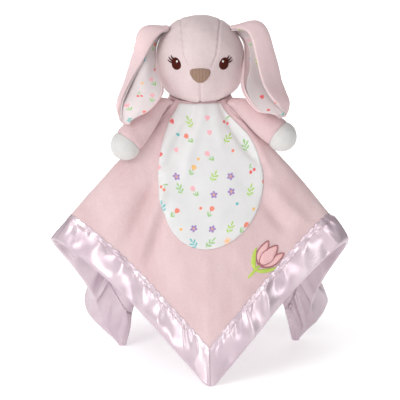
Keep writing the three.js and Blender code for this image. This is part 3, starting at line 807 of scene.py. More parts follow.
for side, name in enumerate(STRIPS):
    mitre = MITRE_GAP / SIDE
    share = mitre + (1 - 2 * mitre) * spread(strip_columns)
    across = np.concatenate([COVER_ROWS, np.linspace(FIRST_ROW, 1, strip_rows)])
    u = np.repeat((side + share)[:, None], len(across), 1)
    run = share[:, None] * SIDE
    wave = run * math.pi / CREASE_PITCH + 1.5 * noise2(run / 19, 0.3, side)
    scallop = SCALLOP * np.abs(np.sin(wave)) * (across < -0.05)
    seam, edge = inset_share(u, BORDER), edge_share(u)
    s = seam + (edge - seam) * (across - scallop)
    top, low = strip_rise(side, np.repeat(share[:, None], len(across), 1), np.broadcast_to(across, u.shape))
    turn = (side + 0.5) * math.pi / 2
    uv = flat_place(u, s)
    uv = np.stack([uv @ [math.cos(turn), math.sin(turn)], uv @ [-math.sin(turn), math.cos(turn)]], -1)
    top_grid, low_grid = cloth_grid(u, s, top), cloth_grid(u, s, low)
    for grid in (top_grid, low_grid):
        grid[..., 2] = np.maximum(grid[..., 2], LOWEST)
    strip = shell("satin_" + name, top_grid, low_grid, pink_satin, uv, round_edge=0.3)
    dress(strip, "blanket", "satin", name)


# A short thread that dips into the cloth at both ends: the share of its length, how far it rises and how thick it
# is there, in radii
THREAD_SHARES, THREAD_RISE, THREAD_GIRTH = np.array([(0, -0.5, 0.45), (0.18, 0.55, 1), (0.5, 0.8, 1),
                                                     (0.82, 0.55, 1), (1, -0.5, 0.45)]).T
THREAD_SIDES = 5


def thread_row(name, path, out, material, body, slot, length, pitch, radius):
    """A row of short threads along a line of points. out is the direction away from the cloth at each point."""
    walked, sides, rings = walk(path), THREAD_SIDES, len(THREAD_SHARES)
    around = turns(sides)[:, None]
    pattern = [[k * sides + q, (k + 1) * sides + q, (k + 1) * sides + (q + 1) % sides, k * sides + (q + 1) % sides]
               for k in range(rings - 1) for q in range(sides)]
    pattern += [list(range(sides)), list(range((rings - 1) * sides, rings * sides))[::-1]]
    verts, faces, uvs = [], [], []
    for start in np.arange(0.3, walked[-1] - length, pitch):
        at = start + length * THREAD_SHARES
        centre, up = (np.stack([np.interp(at, walked, line[:, k]) for k in range(3)], 1) for line in (path, out))
        up = unit(up)
        beside = np.cross(unit(np.gradient(centre, axis=0)), up)
        centre = centre + up * (THREAD_RISE * radius)[:, None]
        faces += [[len(verts) + v for v in face] for face in pattern]
        for k in range(rings):
            ring = np.cos(around) * beside[k] + np.sin(around) * up[k]
            verts += list(centre[k] + radius * THREAD_GIRTH[k] * ring)
            uvs += [(angle * radius, at[k]) for angle in around[:, 0]]
    return dress(make(name, verts, faces, material, uvs), body, slot)


def stitches(name, u, s, offset, material, slot, length=2.6, pitch=3.4, radius=0.22):
    """A row of short threads on the blanket, along a line of surface coordinates."""
    path = cloth_point(u, s, offset)
    out = unit(cloth_point(u, s, offset + 1) - path)
    return thread_row(name, path, out, material, "blanket", slot, length, pitch, radius)


HEM_LINE = 1.9
for side, name in enumerate(STRIPS):
    share = np.linspace(0.066, 0.934, 420)
    top = strip_rise(side, share, np.full(len(share), HEM_LINE / BORDER))[0]
    stitches("hem_stitches_" + name.removeprefix("border_"), side + share,
                              inset_share(side + share, BORDER - HEM_LINE), top + 0.05, pink_thread, "satin")


# Belly panel
BELLY_TOP, BELLY_TOP_HALF, BELLY_HALF, BELLY_WIDEST, BELLY_LENGTH, BELLY_LEAN = 2.0, 20.0, 45.0, 66.0, 121.0, 6.6
# Heights over the velour: of its underside, of its rim, how much higher its middle is, and of its stitches
BELLY_LOW, BELLY_RIM, BELLY_DOME, BELLY_STITCH = 0.35, 0.9, 0.9, 1.55
BELLY_INSET, BELLY_FLAT = 1.3, (0.093, 0.127)


def belly_half(drop):
    """Half the panel's width at a drop below the neck."""
    upper = BELLY_HALF - (BELLY_HALF - BELLY_TOP_HALF) * held(1 - drop / BELLY_WIDEST) ** 1.6
    low = held((drop - BELLY_WIDEST) / (BELLY_LENGTH - BELLY_WIDEST))
    return np.where(drop < BELLY_WIDEST, upper, BELLY_HALF * np.sqrt(np.maximum(0, 1 - low ** 2.1)))


def front_place(distance, drop):
    """Surface coordinates of a point on the front, by its distance beside the belly's middle line."""
    distance, drop = (np.asarray(a, float).ravel() for a in np.broadcast_arrays(distance, drop))

    def share_at(u):
        hem = np.where((u < 0)[:, None], catmull(HEMS[3], 1 + u), catmull(HEMS[0], u))
        return drop / (NECK_Z - hem[:, 2])
    zero = np.zeros(len(drop))
    lean = BELLY_LEAN * np.sin(math.pi * held(drop / BELLY_LENGTH) ** 1.4)
    target = cloth_base(zero, share_at(zero))[:, 0] + lean + distance
    low, high = np.full(len(drop), -0.42), np.full(len(drop), 0.42)
    for _ in range(26):
        u = (low + high) / 2
        left = cloth_base(u, share_at(u))[:, 0] < target
        low, high = np.where(left, u, low), np.where(left, high, u)
    u = (low + high) / 2
    return u, share_at(u)


drop = BELLY_TOP + (BELLY_LENGTH * 0.997 - BELLY_TOP) * np.sin(np.linspace(0, 1, 54 * FINE) * math.pi / 2)
across = np.linspace(-1, 1, 44 * FINE)[:, None]
half = belly_half(drop)
distance = across * half
u, s = (a.reshape(distance.shape) for a in front_place(distance, drop))
rim = held(np.minimum((1 - np.abs(across)) * half / 3.0, (BELLY_LENGTH - drop) / 4.0))
rise = BELLY_RIM + BELLY_DOME * np.sqrt(rim * (2 - rim))
uv = np.stack([distance, np.broadcast_to(-drop, distance.shape)], -1)
belly = shell("belly_jersey", cloth_grid(u, s, rise), cloth_grid(u, s, BELLY_LOW), belly_print, uv, round_edge=0.25)
dress(belly, "blanket", "jersey", "belly_panel")

# the line of stitches runs down one side and up the other, with closer points round the bottom
turn_at = 112
bottom = turn_at + (BELLY_LENGTH * 0.985 - turn_at) * np.sin(np.linspace(0, 1, 40) * math.pi / 2)
drops = np.concatenate([np.linspace(4, turn_at, 150), bottom])
halves = belly_half(drops) - BELLY_INSET
u, s = front_place(np.concatenate([-halves, halves[::-1]]), np.concatenate([drops, drops[::-1]]))
belly_seam = stitches("belly_stitches", u, s, BELLY_STITCH, white_thread, "jersey", 1.7, 2.3, 0.13)


# Head
GUSSET_TOP, GUSSET_BROW, GUSSET_NOSE, GUSSET_NAPE = 18.0, 14.0, 8.0, 11.0
NOSE_TOP, NOSE_LOW, NOSE_HALF = 0.0, -12.6, 8.6
# A seam's groove: its depth and width, and the height and width of the soft lip LIP_AT mm beside it
GUSSET_SEAM, CHIN_SEAM, LIP_AT = (0.62, 0.8, 0.14, 1.5), (0.8, 0.9, 0.3, 1.7), 2.4
# The share of that which the photograph's left gusset seam has, and the puckers along the seams: height and reach
FAINT, PUCKER_RISE, PUCKER_REACH = 0.3, 0.16, 3.2
# The muzzle and the eye sockets: height, place over the head's centre, half width and half height
MUZZLE, MUZZLE_Z, MUZZLE_W, MUZZLE_H = 2.6, -9, 16, 12
SOCKET, SOCKET_Z, SOCKET_W = -0.9, 3, 7
HEAD_UV_R = 36
EYE_X, EYE_Z, EYE_W, EYE_H, EYE_TILT = 20.5, 2.0, 4.1, 5.3, 0.2


def gusset_half(z, front):
    """Half the gusset's width at a height over the head's centre."""
    brow, nose, top = 10.0, NOSE_TOP - 3, HEAD_UP + 5
    ahead = np.where(z > brow, GUSSET_BROW + (GUSSET_TOP - GUSSET_BROW) * (z - brow) / (top - brow),
                     GUSSET_NOSE + (GUSSET_BROW - GUSSET_NOSE) * (z - nose) / (brow - nose))
    nape = -HEAD_DOWN - 5
    behind = GUSSET_NAPE + (GUSSET_TOP - GUSSET_NAPE) * (z - nape) / (top - nape)
    return np.where(front, ahead, behind)


def groove(gap, depth, width, lip, lip_width):
    """A seam's groove with a soft lip beside it, by the distance from the seam."""
    return lip * bell(gap - LIP_AT, lip_width) - depth * bell(gap, width)


def head_relief(x, y, z):
    """Seam grooves, muzzle, eye sockets and soft lumps: height over the plain oval, by head-centred mm."""
    front = y < 0
    on_seam = ~front | (z > NOSE_TOP - 3)
    gap = np.abs(np.abs(x) - gusset_half(z, front))
    # the gusset's seams run out over the nose, and the chin's starts under it
    fade = np.where(front, held((z - NOSE_TOP + 4) / 6), 1.0) * np.where(front & (x < 0), FAINT, 1.0)
    seams = np.where(on_seam, groove(gap, *GUSSET_SEAM), 0) * fade
    seams += groove(np.abs(x), *CHIN_SEAM) * held((NOSE_LOW + 2 - z) / 3) * front
    puckers = PUCKER_RISE * bell(gap, PUCKER_REACH) * np.sin(z * 1.15 + x * 0.2) * on_seam
    muzzle = MUZZLE * bell(x, MUZZLE_W) * bell(z - MUZZLE_Z, MUZZLE_H) * front
    socket = SOCKET * bell(np.abs(x) - EYE_X, SOCKET_W) * bell(z - SOCKET_Z, SOCKET_W) * front
    soft = 0.55 * noise2(x / 17 + y / 23, z / 15, 21) + 0.2 * noise2(x / 6 + 9, z / 6 + y / 9, 22)
    return seams + puckers + muzzle + socket + soft


def with_relief(x, y, z, share=1.0):
    """A point of the plain oval, moved out by a share of the relief."""
    height = np.where(z >= 0, HEAD_UP, HEAD_DOWN)
    out = unit(np.stack([x / HEAD_X ** 2, y / (HEAD_X * HEAD_DEPTH) ** 2, z / height ** 2], -1))
    return np.stack([x, y, z], -1) + out * (head_relief(x, y, z) * share)[..., None]


def head_point(around, tilt, offset, share):
    """The head at an angle round Z (0 is the front) and a tilt from -90 to 90 degrees, neck-frame mm. Its plain
    oval is offset mm larger, and its relief a share of the whole."""
    up = tilt >= 0
    power = 2 / np.where(up, CROWN, CHEEK)
    across = (HEAD_X + offset) * np.abs(np.cos(tilt)) ** power
    z = np.sign(tilt) * (np.where(up, HEAD_UP, HEAD_DOWN) + offset) * np.abs(np.sin(tilt)) ** power
    return with_relief(across * np.sin(around), -across * np.cos(around) * HEAD_DEPTH, z, share) + [0, 0, HEAD_Z]


def head_mesh(name, columns, rows, offset, share, material):
    """A closed piece of that form. Its columns start at the back, where the uv has its seam."""
    tilts = np.linspace(-math.pi / 2, math.pi / 2, rows + 2)
    grid = head_point(*np.meshgrid(turns(columns) + math.pi, tilts[1:-1], indexing="ij"), offset, share)
    poles = head_point(np.zeros(2), tilts[[0, -1]], offset, 0)
    x, y, z = (np.concatenate([grid.reshape(-1, 3), poles]) - [0, 0, HEAD_Z]).T
    return capped(name, grid, poles, material, np.stack([np.arctan2(x, -y) * HEAD_UV_R, z], 1))


head = head_mesh("head_skin", 150 * FINE, 84 * FINE, 0.0, 1.0, head_plush)
dress(head, "head", "plush", "head_gusset", "head_side_left", "head_side_right")
fill = head_mesh("head_filling", 48, 26, -2.2, 0.6, filling)
dress(fill, "head", "fibrefill", "head_stuffing")


def face_point(x, z, offset):
    """The dressed head's front surface at x and a height z over its centre, moved out along its direction."""
    x, z = np.broadcast_arrays(np.asarray(x, float), np.asarray(z, float))

    def surface(x, z):
        up = z >= 0
        power = np.where(up, CROWN, CHEEK)
        rho = HEAD_X * np.maximum(1 - np.abs(z / np.where(up, HEAD_UP, HEAD_DOWN)) ** power, 1e-6) ** (1 / power)
        return with_relief(x, -HEAD_DEPTH * np.sqrt(np.maximum(rho ** 2 - x ** 2, 1e-6)), z)
    along = surface(x + 0.5, z) - surface(x - 0.5, z)
    down = surface(x, z - 0.5) - surface(x, z + 0.5)
    return surface(x, z) + unit(np.cross(down, along)) * np.asarray(offset)[..., None] + [0, 0, HEAD_Z]


def stitched_patch(name, surface, body, slot, outline, height, material, nodes=(), uv_turn=0.0, edge=0.05, rings=10):
    """A domed embroidered patch. surface(x, y, level) gives points, and outline is (n, 2), running round it.
    The patch rises from the level edge at its outline to height in its middle."""
    outline = np.asarray(outline, float)
    middle = outline.mean(0)
    n = len(outline)
    shares = np.linspace(0, 1, rings + 1)[1:]
    flat = np.concatenate([middle[None]] + [middle + (outline - middle) * r for r in shares])
    level = np.concatenate([[height]] + [np.full(n, edge + (height - edge) * (1 - r ** 3) ** 0.5) for r in shares])
    top = surface(flat[:, 0], flat[:, 1], level)
    low = surface(flat[:, 0], flat[:, 1], np.full(len(flat), -0.5))
    count = len(flat)
    faces = []
    for k in range(n):
        e = (k + 1) % n
        faces.append([0, 1 + k, 1 + e])
        faces.append([count, count + 1 + e, count + 1 + k])
        for a in range(1, 1 + (rings - 1) * n, n):
            b = a + n
            faces.append([a + k, b + k, b + e, a + e])
            faces.append([count + a + e, count + b + e, count + b + k, count + a + k])
        a = 1 + (rings - 1) * n
        faces.append([a + k, count + a + k, count + a + e, a + e])
    c, q = math.cos(uv_turn), math.sin(uv_turn)
    uv = np.stack([flat[:, 0] * c + flat[:, 1] * q, flat[:, 1] * c - flat[:, 0] * q], 1)
    obj = make(name, np.concatenate([top, low]), faces, material, np.concatenate([uv, uv]))
    # an outline that runs the other way round would leave the faces inside out
    bm = bmesh.new()
    bm.from_mesh(obj.data)
    bmesh.ops.recalc_face_normals(bm, faces=bm.faces)
    bm.to_mesh(obj.data)
    bm.free()
    dress(obj, body, slot, *nodes)


def face_patch(name, slot, outline, height, material, **settings):
    stitched_patch(name, face_point, "head", slot, outline, height, material, **settings)


def lash(name, points):
    """A tapering eyelash of thread on the head, through three points."""
    t = np.linspace(0, 1, 14)
    x, z = catmull(points, t).T
    dress(tube(name, face_point(x, z, 0.35), 0.85 * (1 - 0.65 * t), eye_thread), "head", "eye_thread")


# Each eyelash's three points, outwards and upwards from the eye's middle
LASHES = [[(3.0, 2.2), (4.8, 3.0), (6.3, 4.7)], [(3.3, 0.6), (5.2, 0.9), (7.0, 2.2)],
          [(2.0, 3.6), (3.4, 4.7), (4.2, 6.4)]]
# The glint in an eye: how far it lies inwards and upwards of the eye's middle, and its half width and height
GLINT_IN, GLINT_UP, GLINT_W, GLINT_H = 1.3, 2.1, 0.75, 1.0
for side, sign in (("left", -1), ("right", 1)):
    k = turns(48)
    wide, tall = EYE_W * np.cos(k) * (1 - 0.16 * np.sin(k)), EYE_H * np.sin(k)
    x = wide * math.cos(EYE_TILT) - tall * math.sin(EYE_TILT)
    z = wide * math.sin(EYE_TILT) + tall * math.cos(EYE_TILT)
    face_patch("eye_stitched_" + side, "eye_thread", np.stack([sign * (EYE_X - x), EYE_Z + z], 1), 1.25, eye_thread,
               nodes=["eye_" + side], uv_turn=sign * 0.35)
    k = turns(20)
    glint = np.stack([sign * (EYE_X - GLINT_IN) + GLINT_W * np.cos(k), EYE_Z + GLINT_UP + GLINT_H * np.sin(k)], 1)
    face_patch("eye_glint_" + side, "paw_plush", glint, 1.75, white_thread, edge=1.2, rings=4)
    for n, points in enumerate(LASHES):
        lash(f"lash_{side}_{n}", [(sign * (EYE_X + a), EYE_Z + b) for a, b in points])


def bend(a, b, c):
    """A curve from a to c, drawn towards b."""
    t = np.linspace(0, 1, 14)[:-1, None]
    return np.array(a) * (1 - t) ** 2 + 2 * np.array(b) * t * (1 - t) + np.array(c) * t ** 2


# The nose's outline: every other point is a place on it, and the one between draws the curve towards it
low, high, w = NOSE_LOW, NOSE_TOP - 1.0, NOSE_HALF
mid = low + (high - low) * 0.52
outline = [(0, low), (w * 0.55, low + 0.3), (w * 0.9, mid), (w * 1.18, high - 0.6), (w * 0.6, high), (0, high + 0.9)]
outline += [(-x, z) for x, z in outline[4::-1]]
nose_line = np.concatenate([bend(*outline[k:k + 3]) for k in range(0, len(outline) - 1, 2)])
face_patch("nose_stitched", "nose_thread", nose_line, 1.5, nose_thread, nodes=["nose"], rings=14)


def seam_row(name, x, z):
    """Tight small threads down in a head seam."""
    path = face_point(x, z, 0.12)
    out = unit(face_point(x, z, 1.0) - path)
    thread_row(name, path, out, seam_thread, "head", "plush", 2.0, 2.4, 0.16)


for side, sign in (("left", -1), ("right", 1)):
    z = np.linspace(NOSE_TOP + 1, 34.5, 90)
    seam_row("gusset_stitches_" + side, sign * gusset_half(z, True), z)
z = np.linspace(NOSE_LOW - 1.0, -33.5, 40)
seam_row("chin_stitches", np.zeros(40), z)


# Embroidery: a tulip bud on the velour
def front_at_pixel(px, py):
    """Surface coordinates on the front where it shows at a pixel of the photograph."""
    px, py = np.asarray(px, float), np.asarray(py, float)
    u, s = np.full(px.shape, 0.12), np.full(px.shape, 0.6)

    def shown(u, s):
        return np.stack(to_pixels(cloth_base(u, s)), 1)
    for _ in range(12):
        here = shown(u, s)
        by_u = (shown(u + 1e-3, s) - here) / 1e-3
        by_s = (shown(u, s + 1e-3) - here) / 1e-3
        gap_x, gap_y = px - here[:, 0], py - here[:, 1]
        area = by_u[:, 0] * by_s[:, 1] - by_u[:, 1] * by_s[:, 0]
        u = np.clip(u + (gap_x * by_s[:, 1] - gap_y * by_s[:, 0]) / area, 0.001, 0.45)
        s = np.clip(s + (by_u[:, 0] * gap_y - by_u[:, 1] * gap_x) / area, 0.2, 0.9)
    return u, s


# Where the motif lies in the photograph, how it is turned, its scale, and how much the velour's slant shortens it
TULIP_AT, TULIP_TURN, TULIP_SIZE, TULIP_SLANT = (262.0, 260.0), math.radians(-40), 1.25, 0.93


def on_tulip(x, y, level):
    """A point of the motif, drawn upright in mm, on the front of the velour."""
    c, q = math.cos(TULIP_TURN), math.sin(TULIP_TURN)
    px = TULIP_AT[0] + (x * c - y * q) * TULIP_SIZE / PX_MM
    py = TULIP_AT[1] - (x * q + y * c) * TULIP_SIZE / PX_MM * TULIP_SLANT
    return cloth_point(*front_at_pixel(px, py), level)


def smooth_loop(points):
    """A closed smooth line through the points, as 60 of its own."""
    p = np.array(points + points[:1], float)
    wide = np.concatenate([p[-2:-1], p, p[1:2]])
    return catmull(wide, np.linspace(1, len(p), 60, endpoint=False) / (len(wide) - 1))


# The motif's parts: name, outline in mm, height, thread, turn of the stitches, and whether a cord goes round it
TULIP = [
    ("leaf_left", [(0, -9), (-5.5, -6.5), (-9.5, 0.5), (-10.2, 5), (-7.2, 0.8), (-3, -4.6)],
     0.8, leaf_thread, 0.9, False),
    ("leaf_right", [(0.3, -9), (5, -7.5), (9.4, -1.5), (10.6, 3.2), (7.4, -0.6), (3, -5.2)],
     0.8, leaf_thread, -0.9, False),
    ("stem", [(-0.8, -15), (0.7, -15), (0.7, -4), (-0.8, -4)], 0.7, leaf_thread, 1.5, False),
    ("petal_left", [(-0.5, -3.6), (-5.8, -1), (-8.2, 5), (-7.2, 13.4), (-3.6, 8.5)], 0.7, fill_thread, 0.35, True),
    ("petal_right", [(0.5, -3.6), (5.8, -1), (8.2, 5), (7.2, 13.4), (3.6, 8.5)], 0.7, fill_thread, -0.35, True),
    ("petal_middle", [(0, -4), (-4.2, 2.2), (-3.6, 8.6), (0, 15), (3.6, 8.6), (4.2, 2.2)],
     1.3, fill_thread, 0.0, True),
]
for name, points, height, thread, turn, corded in TULIP:
    loop = smooth_loop(points)
    stitched_patch("tulip_" + name, on_tulip, "blanket", "velour", loop, height, thread, uv_turn=turn, rings=6)
    if corded:
        path = on_tulip(*np.concatenate([loop, loop[:1]]).T, 0.35)
        dress(tube(f"tulip_{name}_outline", path, 0.55, rose_thread, sides=7), "blanket", "velour")


# Ears
def ear_points(edges, across, along, sign, offset=0.0):
    """Points of an ear's surface at across and along (0..1), facing the viewer. edges are the lines of points
    from root to tip that it passes through."""
    across, along, offset = np.broadcast_arrays(across, along, offset)

    def surface(a, b):
        sections = np.stack([catmull(line, b) for line in edges])
        return catmull(sections, 1 - a if sign < 0 else a)
    a, b = across.ravel(), along.ravel()
    aside = surface(np.minimum(a + STEP, 1), b) - surface(np.maximum(a - STEP, 0), b)
    down = surface(a, np.minimum(b + STEP, 1)) - surface(a, np.maximum(b - STEP, 0))
    point = surface(a, b) + unit(np.cross(down, aside)) * offset.ravel()[:, None]
    return point.reshape(*across.shape, 3)


# How far the two outer edge lines are drawn in, at each of their points
EAR_INSETS = ((0, 0.5, 3.0, 3.6, 3.2, 1.0), (0, 1.0, 3.0, 3.4, 2.4, 0.6))
# Where each edge line starts in the head's side: outwards, and y
EAR_ROOTS = [(28.0, 4.0), (28.0, -0.5), (27.6, -5.0), (26.0, -9.5)]
# Heights over the ear's middle surface, mm: of the velour's two sides and how much its back is domed, of the
# lining's two sides and how much its front is domed, and of the middle of the rolled rim and its radius
EAR_FRONT, EAR_BACK, EAR_DOME = -1.7, -3.3, 0.5
LINING_FRONT, LINING_BACK, LINING_DOME = -0.2, -1.25, 0.55
RIM_AT, RIM_R = -0.75, 0.8
# A length in mm from the ear's root to the second point handed to carry.
EAR_CARRIED = 10.0

for side, sign in (("left", -1), ("right", 1)):
    edges = [np.array(line, float) + OVER_NECK for line in EARS[side]]
    # the layers lie outside the drawn edges, so these are drawn in by as much
    for line, inset in zip(edges[2:], EAR_INSETS):
        line[:, 0] -= sign * np.array(inset)
    edges[2][1:5, 1] -= 5.5 if sign > 0 else 9.0
    edges[3][1:5, 1] += 3.0
    if sign > 0:
        # the right ear is full towards its tip
        edges[0][4:] += [[0.0, -0.8, -3.2], [0.0, -1.8, -4.0]]
        edges[1][4:] += [[0.0, -0.6, -2.2], [0.0, -1.0, -1.6]]
    # the tip stands a little clear of the sleeve
    for line in edges:
        line[-3:] += [[0, -0.6, 0.6], [0, -1.2, 1.4], [0, -1.2, 1.4]]
    # the root is let into the head's side
    for line, (x, y) in zip(edges, EAR_ROOTS):
        line[0, :2] = sign * x, y
    across, along = np.meshgrid(spread(34 * FINE), np.linspace(0, 1, 56 * FINE), indexing="ij")
    soft = 0.35 * noise2(across * 2.3 + 5 * sign, along * 5.1, 31) + 0.15 * noise2(across * 6, along * 14, 32)
    rim = np.sqrt(held(np.minimum(np.minimum(across, 1 - across) * 34, (1 - along) * 60) / 2.2))
    leaf_width = 48 * arch(along * 0.8 + 0.15) ** 0.5
    flat = np.stack([(across - 0.5) * leaf_width, -along * 104], -1)
    # the layers thin out towards the tip, where the ear is narrow
    thin = 1 - 0.5 * held((along - 0.8) / 0.2)
    top = ear_points(edges, across, along, sign, (EAR_FRONT + soft) * thin)
    low = ear_points(edges, across, along, sign, (EAR_BACK + soft - EAR_DOME * rim) * thin)
    # the ear's velour is the lighter copy of the blanket's velour, painted light
    outer = shell("ear_velour_painted_light_" + side, top, low, ear_velour_painted_light, flat, round_edge=0.9)
    dress(outer, None, "velour", "ear_outer_" + side)
    # the lining is set in from the velour's edge, further where the right ear's edge rolls over
    inner_b = 0.01 + 0.975 * along
    bare = 0.035 + 0.16 * bell(inner_b - 0.34, 0.2) * (sign > 0)
    inner_a = (0.016 if sign < 0 else bare) + (0.984 - bare) * across
    top = ear_points(edges, inner_a, inner_b, sign, (LINING_FRONT + soft + LINING_DOME * rim) * thin)
    low = ear_points(edges, inner_a, inner_b, sign, (LINING_BACK + soft) * thin)
    inner = shell("ear_jersey_" + side, top, low, ear_print, flat, round_edge=0.3)
    dress(inner, None, "lining", "ear_lining_" + side)
    # the velour's turned-in edge that frames the lining
    t = np.linspace(0, 1, 150)
    path = ear_points(edges, 0.98 if sign < 0 else 0.02, 0.02 + 0.955 * t, sign, RIM_AT)
    roll = tube("ear_rim_" + side, path, RIM_R * np.clip((1 - t) / 0.15, 0.3, 1), ear_velour_painted_light, sides=10)
    dress(roll, None, "velour")
    root = ear_points(edges, np.array([0.5]), np.array([0.0]), sign)[0]
    after = root + EAR_CARRIED * unit(np.array([sign * 0.75, -0.1, -0.65]))
    for piece in (outer, inner, roll):
        carry(piece, root, after)


# Arms: the root's length past the shoulder, the paw's ball, and the radius that the cloth is unrolled by
ARM_ROOT, PAW_BALL, LIMB_UV_R = 12.0, 13.0, 12.0
# Where the sleeves are drawn together on the neck: outwards, y, and below the neck
SLEEVE_NECK = (25.0, -11.5, 3.5)
# How far the cuff ends before the paw's middle, and the paw's ball starts before it
CUFF_BACK, PAW_BACK = 4.0, 4.6
# The sleeve's ease over the arm, how much narrower its hidden start is, how far the cuff's edge and the paw's are
# turned in, and how much thinner the filling is than the arm
EASE, START_IN, TURNED_IN, FILLING_IN = 0.3, 3.4, 0.9, 3.2


def limb(name, start, axis, stations, radii, squash, columns, material, mirror, waves=None, bent=0.0, end=None):
    """A round piece along an axis. stations are mm past start, with a ring of a radius at each, and squash
    flattens the rings front to back. waves are the relief: depth as a share of the radius, rate and phase round
    the limb, mm along it, twist and seed. bent moves the rings, and end is the last pole."""
    front = unit(np.array([0.0, -1.0, 0.0]) + axis * axis[1])
    up = np.cross(front, axis)
    up = up * (1 if up[2] > 0 else -1)
    cosine, sine = (turn(turns(columns))[:, None] for turn in (np.cos, np.sin))
    middle = start + axis * stations[:, None]
    squash = np.broadcast_to(squash, stations.shape)[:, None]
    away = radii[:, None] * (cosine[..., None] * up + squash * (sine[..., None] * front))
    if waves:
        depth, rate, phase, run, twist, seed = waves
        away = away * (1 + depth * noise2(cosine * rate + phase, stations / run + sine * twist, seed))[..., None]
    middle = middle + bent
    grid = middle + away
    poles = [middle[0], middle[-1] if end is None else end]
    return capped(name, grid, poles, material, unrolled(columns, LIMB_UV_R, walk(grid[0])), mirror)


def arm_radius(stations, length, root):
    """The arm's radius along it, growing from the root's to the cuff's."""
    return root + (ARM_R - ARM_ROOT_R) * np.sin(held(stations / length) * math.pi / 2) ** 0.8


for side, sign in (("left", -1), ("right", 1)):
    shoulder, paw = (np.array(p, float) + OVER_NECK for p in ARMS[side])
    length = float(np.linalg.norm(paw - shoulder))
    axis = unit(paw - shoulder)
    # the sleeve, from inside the blanket's shoulder to the turned-in cuff
    cuff = length - CUFF_BACK
    t = np.linspace(0, 1, 32 * FINE)
    stations = cuff * t - ARM_ROOT * (1 - t) ** 2
    radii = arm_radius(stations, length, ARM_ROOT_R) + EASE
    radii = radii - START_IN * held(-stations / ARM_ROOT) - TURNED_IN * bell(cuff - stations, 1.1)
    x, y, below = SLEEVE_NECK
    at_neck = np.array([sign * x, y, NECK_Z - below]) - (shoulder - axis * ARM_ROOT)
    bent = held((6 - stations) / 18)[:, None] ** 1.5 * at_neck
    sleeve = limb("sleeve_velour_" + side, shoulder, axis, stations, radii, 0.96 + 0.03 * np.sin(stations / 3),
                  36 * FINE, pink_velour, sign > 0, (0.035, 2.2, 9, 7, 1.6, 41), bent)
    dress(sleeve, None, "velour", "sleeve_" + side)
    carry(sleeve, shoulder, shoulder + axis * ARM_ROOT)
    # the paw, a ball that starts inside the cuff
    back = math.asin(PAW_BACK / PAW_BALL)
    tilt = -back + (math.pi / 2 + back) * np.linspace(0, 1, 26 * FINE)[:-1]
    stations = length + PAW_BALL * np.sin(tilt)
    radii = PAW_BALL * np.cos(tilt) - TURNED_IN * bell(stations - stations[0], 1.0)
    paw_piece = limb("paw_plush_" + side, shoulder, axis, stations, radii, 0.96, 36 * FINE, paw_plush, sign > 0,
                     (0.02, 1.8, 3, 6, 1.5, 43), end=shoulder + axis * (length + PAW_BALL))
    dress(paw_piece, "arm_" + side, "paw_plush", "paw_" + side)
    # the filling, which thins out into the paw
    stations = np.linspace(6.5, length + 9, 20)
    radii = arm_radius(stations, length, ARM_ROOT_R - FILLING_IN)
    radii[-4:] *= [0.97, 0.88, 0.7, 0.4]
    stuffing = limb("arm_filling_" + side, shoulder, axis, stations, radii, 0.95, 20, filling, sign > 0)
    dress(stuffing, "arm_" + side, "fibrefill", "arm_stuffing_" + side)


# Floor, light and camera
floor_mesh = bpy.data.meshes.new("floor")
floor_mesh.from_pydata([(-6, -6, 0), (6, -6, 0), (6, 6, 0), (-6, 6, 0)], [], [(0, 1, 2, 3)])
pale = Material("floor_pale", Base_Color=(0.96, 0.96, 0.96, 1), Roughness=0.9, Emission_Color=(1, 1, 1, 1),
                Emission_Strength=0.5)
floor_mesh.materials.append(pale.material)
linked("floor", floor_mesh)

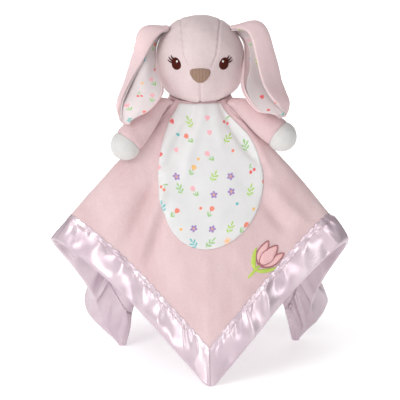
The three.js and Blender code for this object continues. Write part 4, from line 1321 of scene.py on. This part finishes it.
world = bpy.data.worlds.new("studio")
bpy.context.scene.world = world
world.use_nodes = True
sky = world.node_tree
way = sky.nodes.new("ShaderNodeTexCoord")
toward = sky.nodes.new("ShaderNodeVectorMath")
toward.operation = "DOT_PRODUCT"
toward.inputs[1].default_value = Vector((-0.55, -0.45, 0.7)).normalized()
glow = sky.nodes.new("ShaderNodeMapRange")
glow.interpolation_type = "SMOOTHSTEP"
for key, value in {"From Min": 0.1, "From Max": 0.98, "To Min": 0.15, "To Max": 0.78}.items():
    glow.inputs[key].default_value = value
sky.links.new(way.outputs["Generated"], toward.inputs[0])
sky.links.new(toward.outputs["Value"], glow.inputs["Value"])
sky.links.new(glow.outputs["Result"], sky.nodes["Background"].inputs["Strength"])
sky.nodes["Background"].inputs["Color"].default_value = (1.0, 1.0, 1.0, 1)


def aimed(light, place, aim):
    """Places a light and turns it to a point."""
    light.location = place
    light.rotation_euler = (Vector(aim) - Vector(place)).to_track_quat("-Z", "Y").to_euler()


# Name, place, size and power of each lamp. The windows are small ones that only the gloss of the cloth picks up.
LAMPS = [
    ("key", (-0.95, -1.2, 0.95), 0.6, 6.9), ("strip", (1.0, -1.3, 0.7), 0.3, 1.9),
    ("back_fill", (0.3, 1.6, 0.9), 1.2, 7.0), ("window_0", (-0.5, -1.7, 0.1), 0.5, 4.6),
    ("window_1", (0.15, -1.5, 1.0), 0.5, 2.6), ("window_2", (0.75, -1.6, 0.35), 0.5, 3.2),
    ("window_3", (1.3, -1.0, 1.0), 0.5, 2.6),
]
for name, place, size, power in LAMPS:
    data = bpy.data.lights.new(name, "AREA")
    data.size, data.energy = size, power
    lamp = linked(name, data)
    aimed(lamp, place, (0, -0.02, 0.16))
    lamp.visible_diffuse = not name.startswith("window")
sun = linked("sun", bpy.data.lights.new("sun", "SUN"))
sun.data.energy, sun.data.angle = 0.32, math.radians(50)
aimed(sun, (-0.5, -0.35, 1.0), (0, 0, 0))

bpy.context.scene.view_settings.view_transform = "Standard"

# The camera's slant and distance, half the picture's width in metres at that distance, and how far the picture's
# middle lies above the front corner's tip, in mm as the picture shows them
ELEVATION, DISTANCE, HALF_VIEW, MIDDLE_UP = math.radians(15), 2.2, 0.175, 160.6
SENSOR = 36
camera = linked("camera", bpy.data.cameras.new("camera"))
bpy.context.scene.camera = camera
image_middle = Vector((0.000326, -0.018785, (MIDDLE_UP + CORNERS[0][1] * VIEW_AWAY) / VIEW_UP * MM))
back = Vector((0, -math.cos(ELEVATION), math.sin(ELEVATION)))
camera.location = image_middle + back * DISTANCE
camera.rotation_mode = "QUATERNION"
camera.rotation_quaternion = (-back).to_track_quat("-Z", "Y")
camera.data.sensor_width = SENSOR
camera.data.lens = SENSOR / 2 / (HALF_VIEW / DISTANCE)
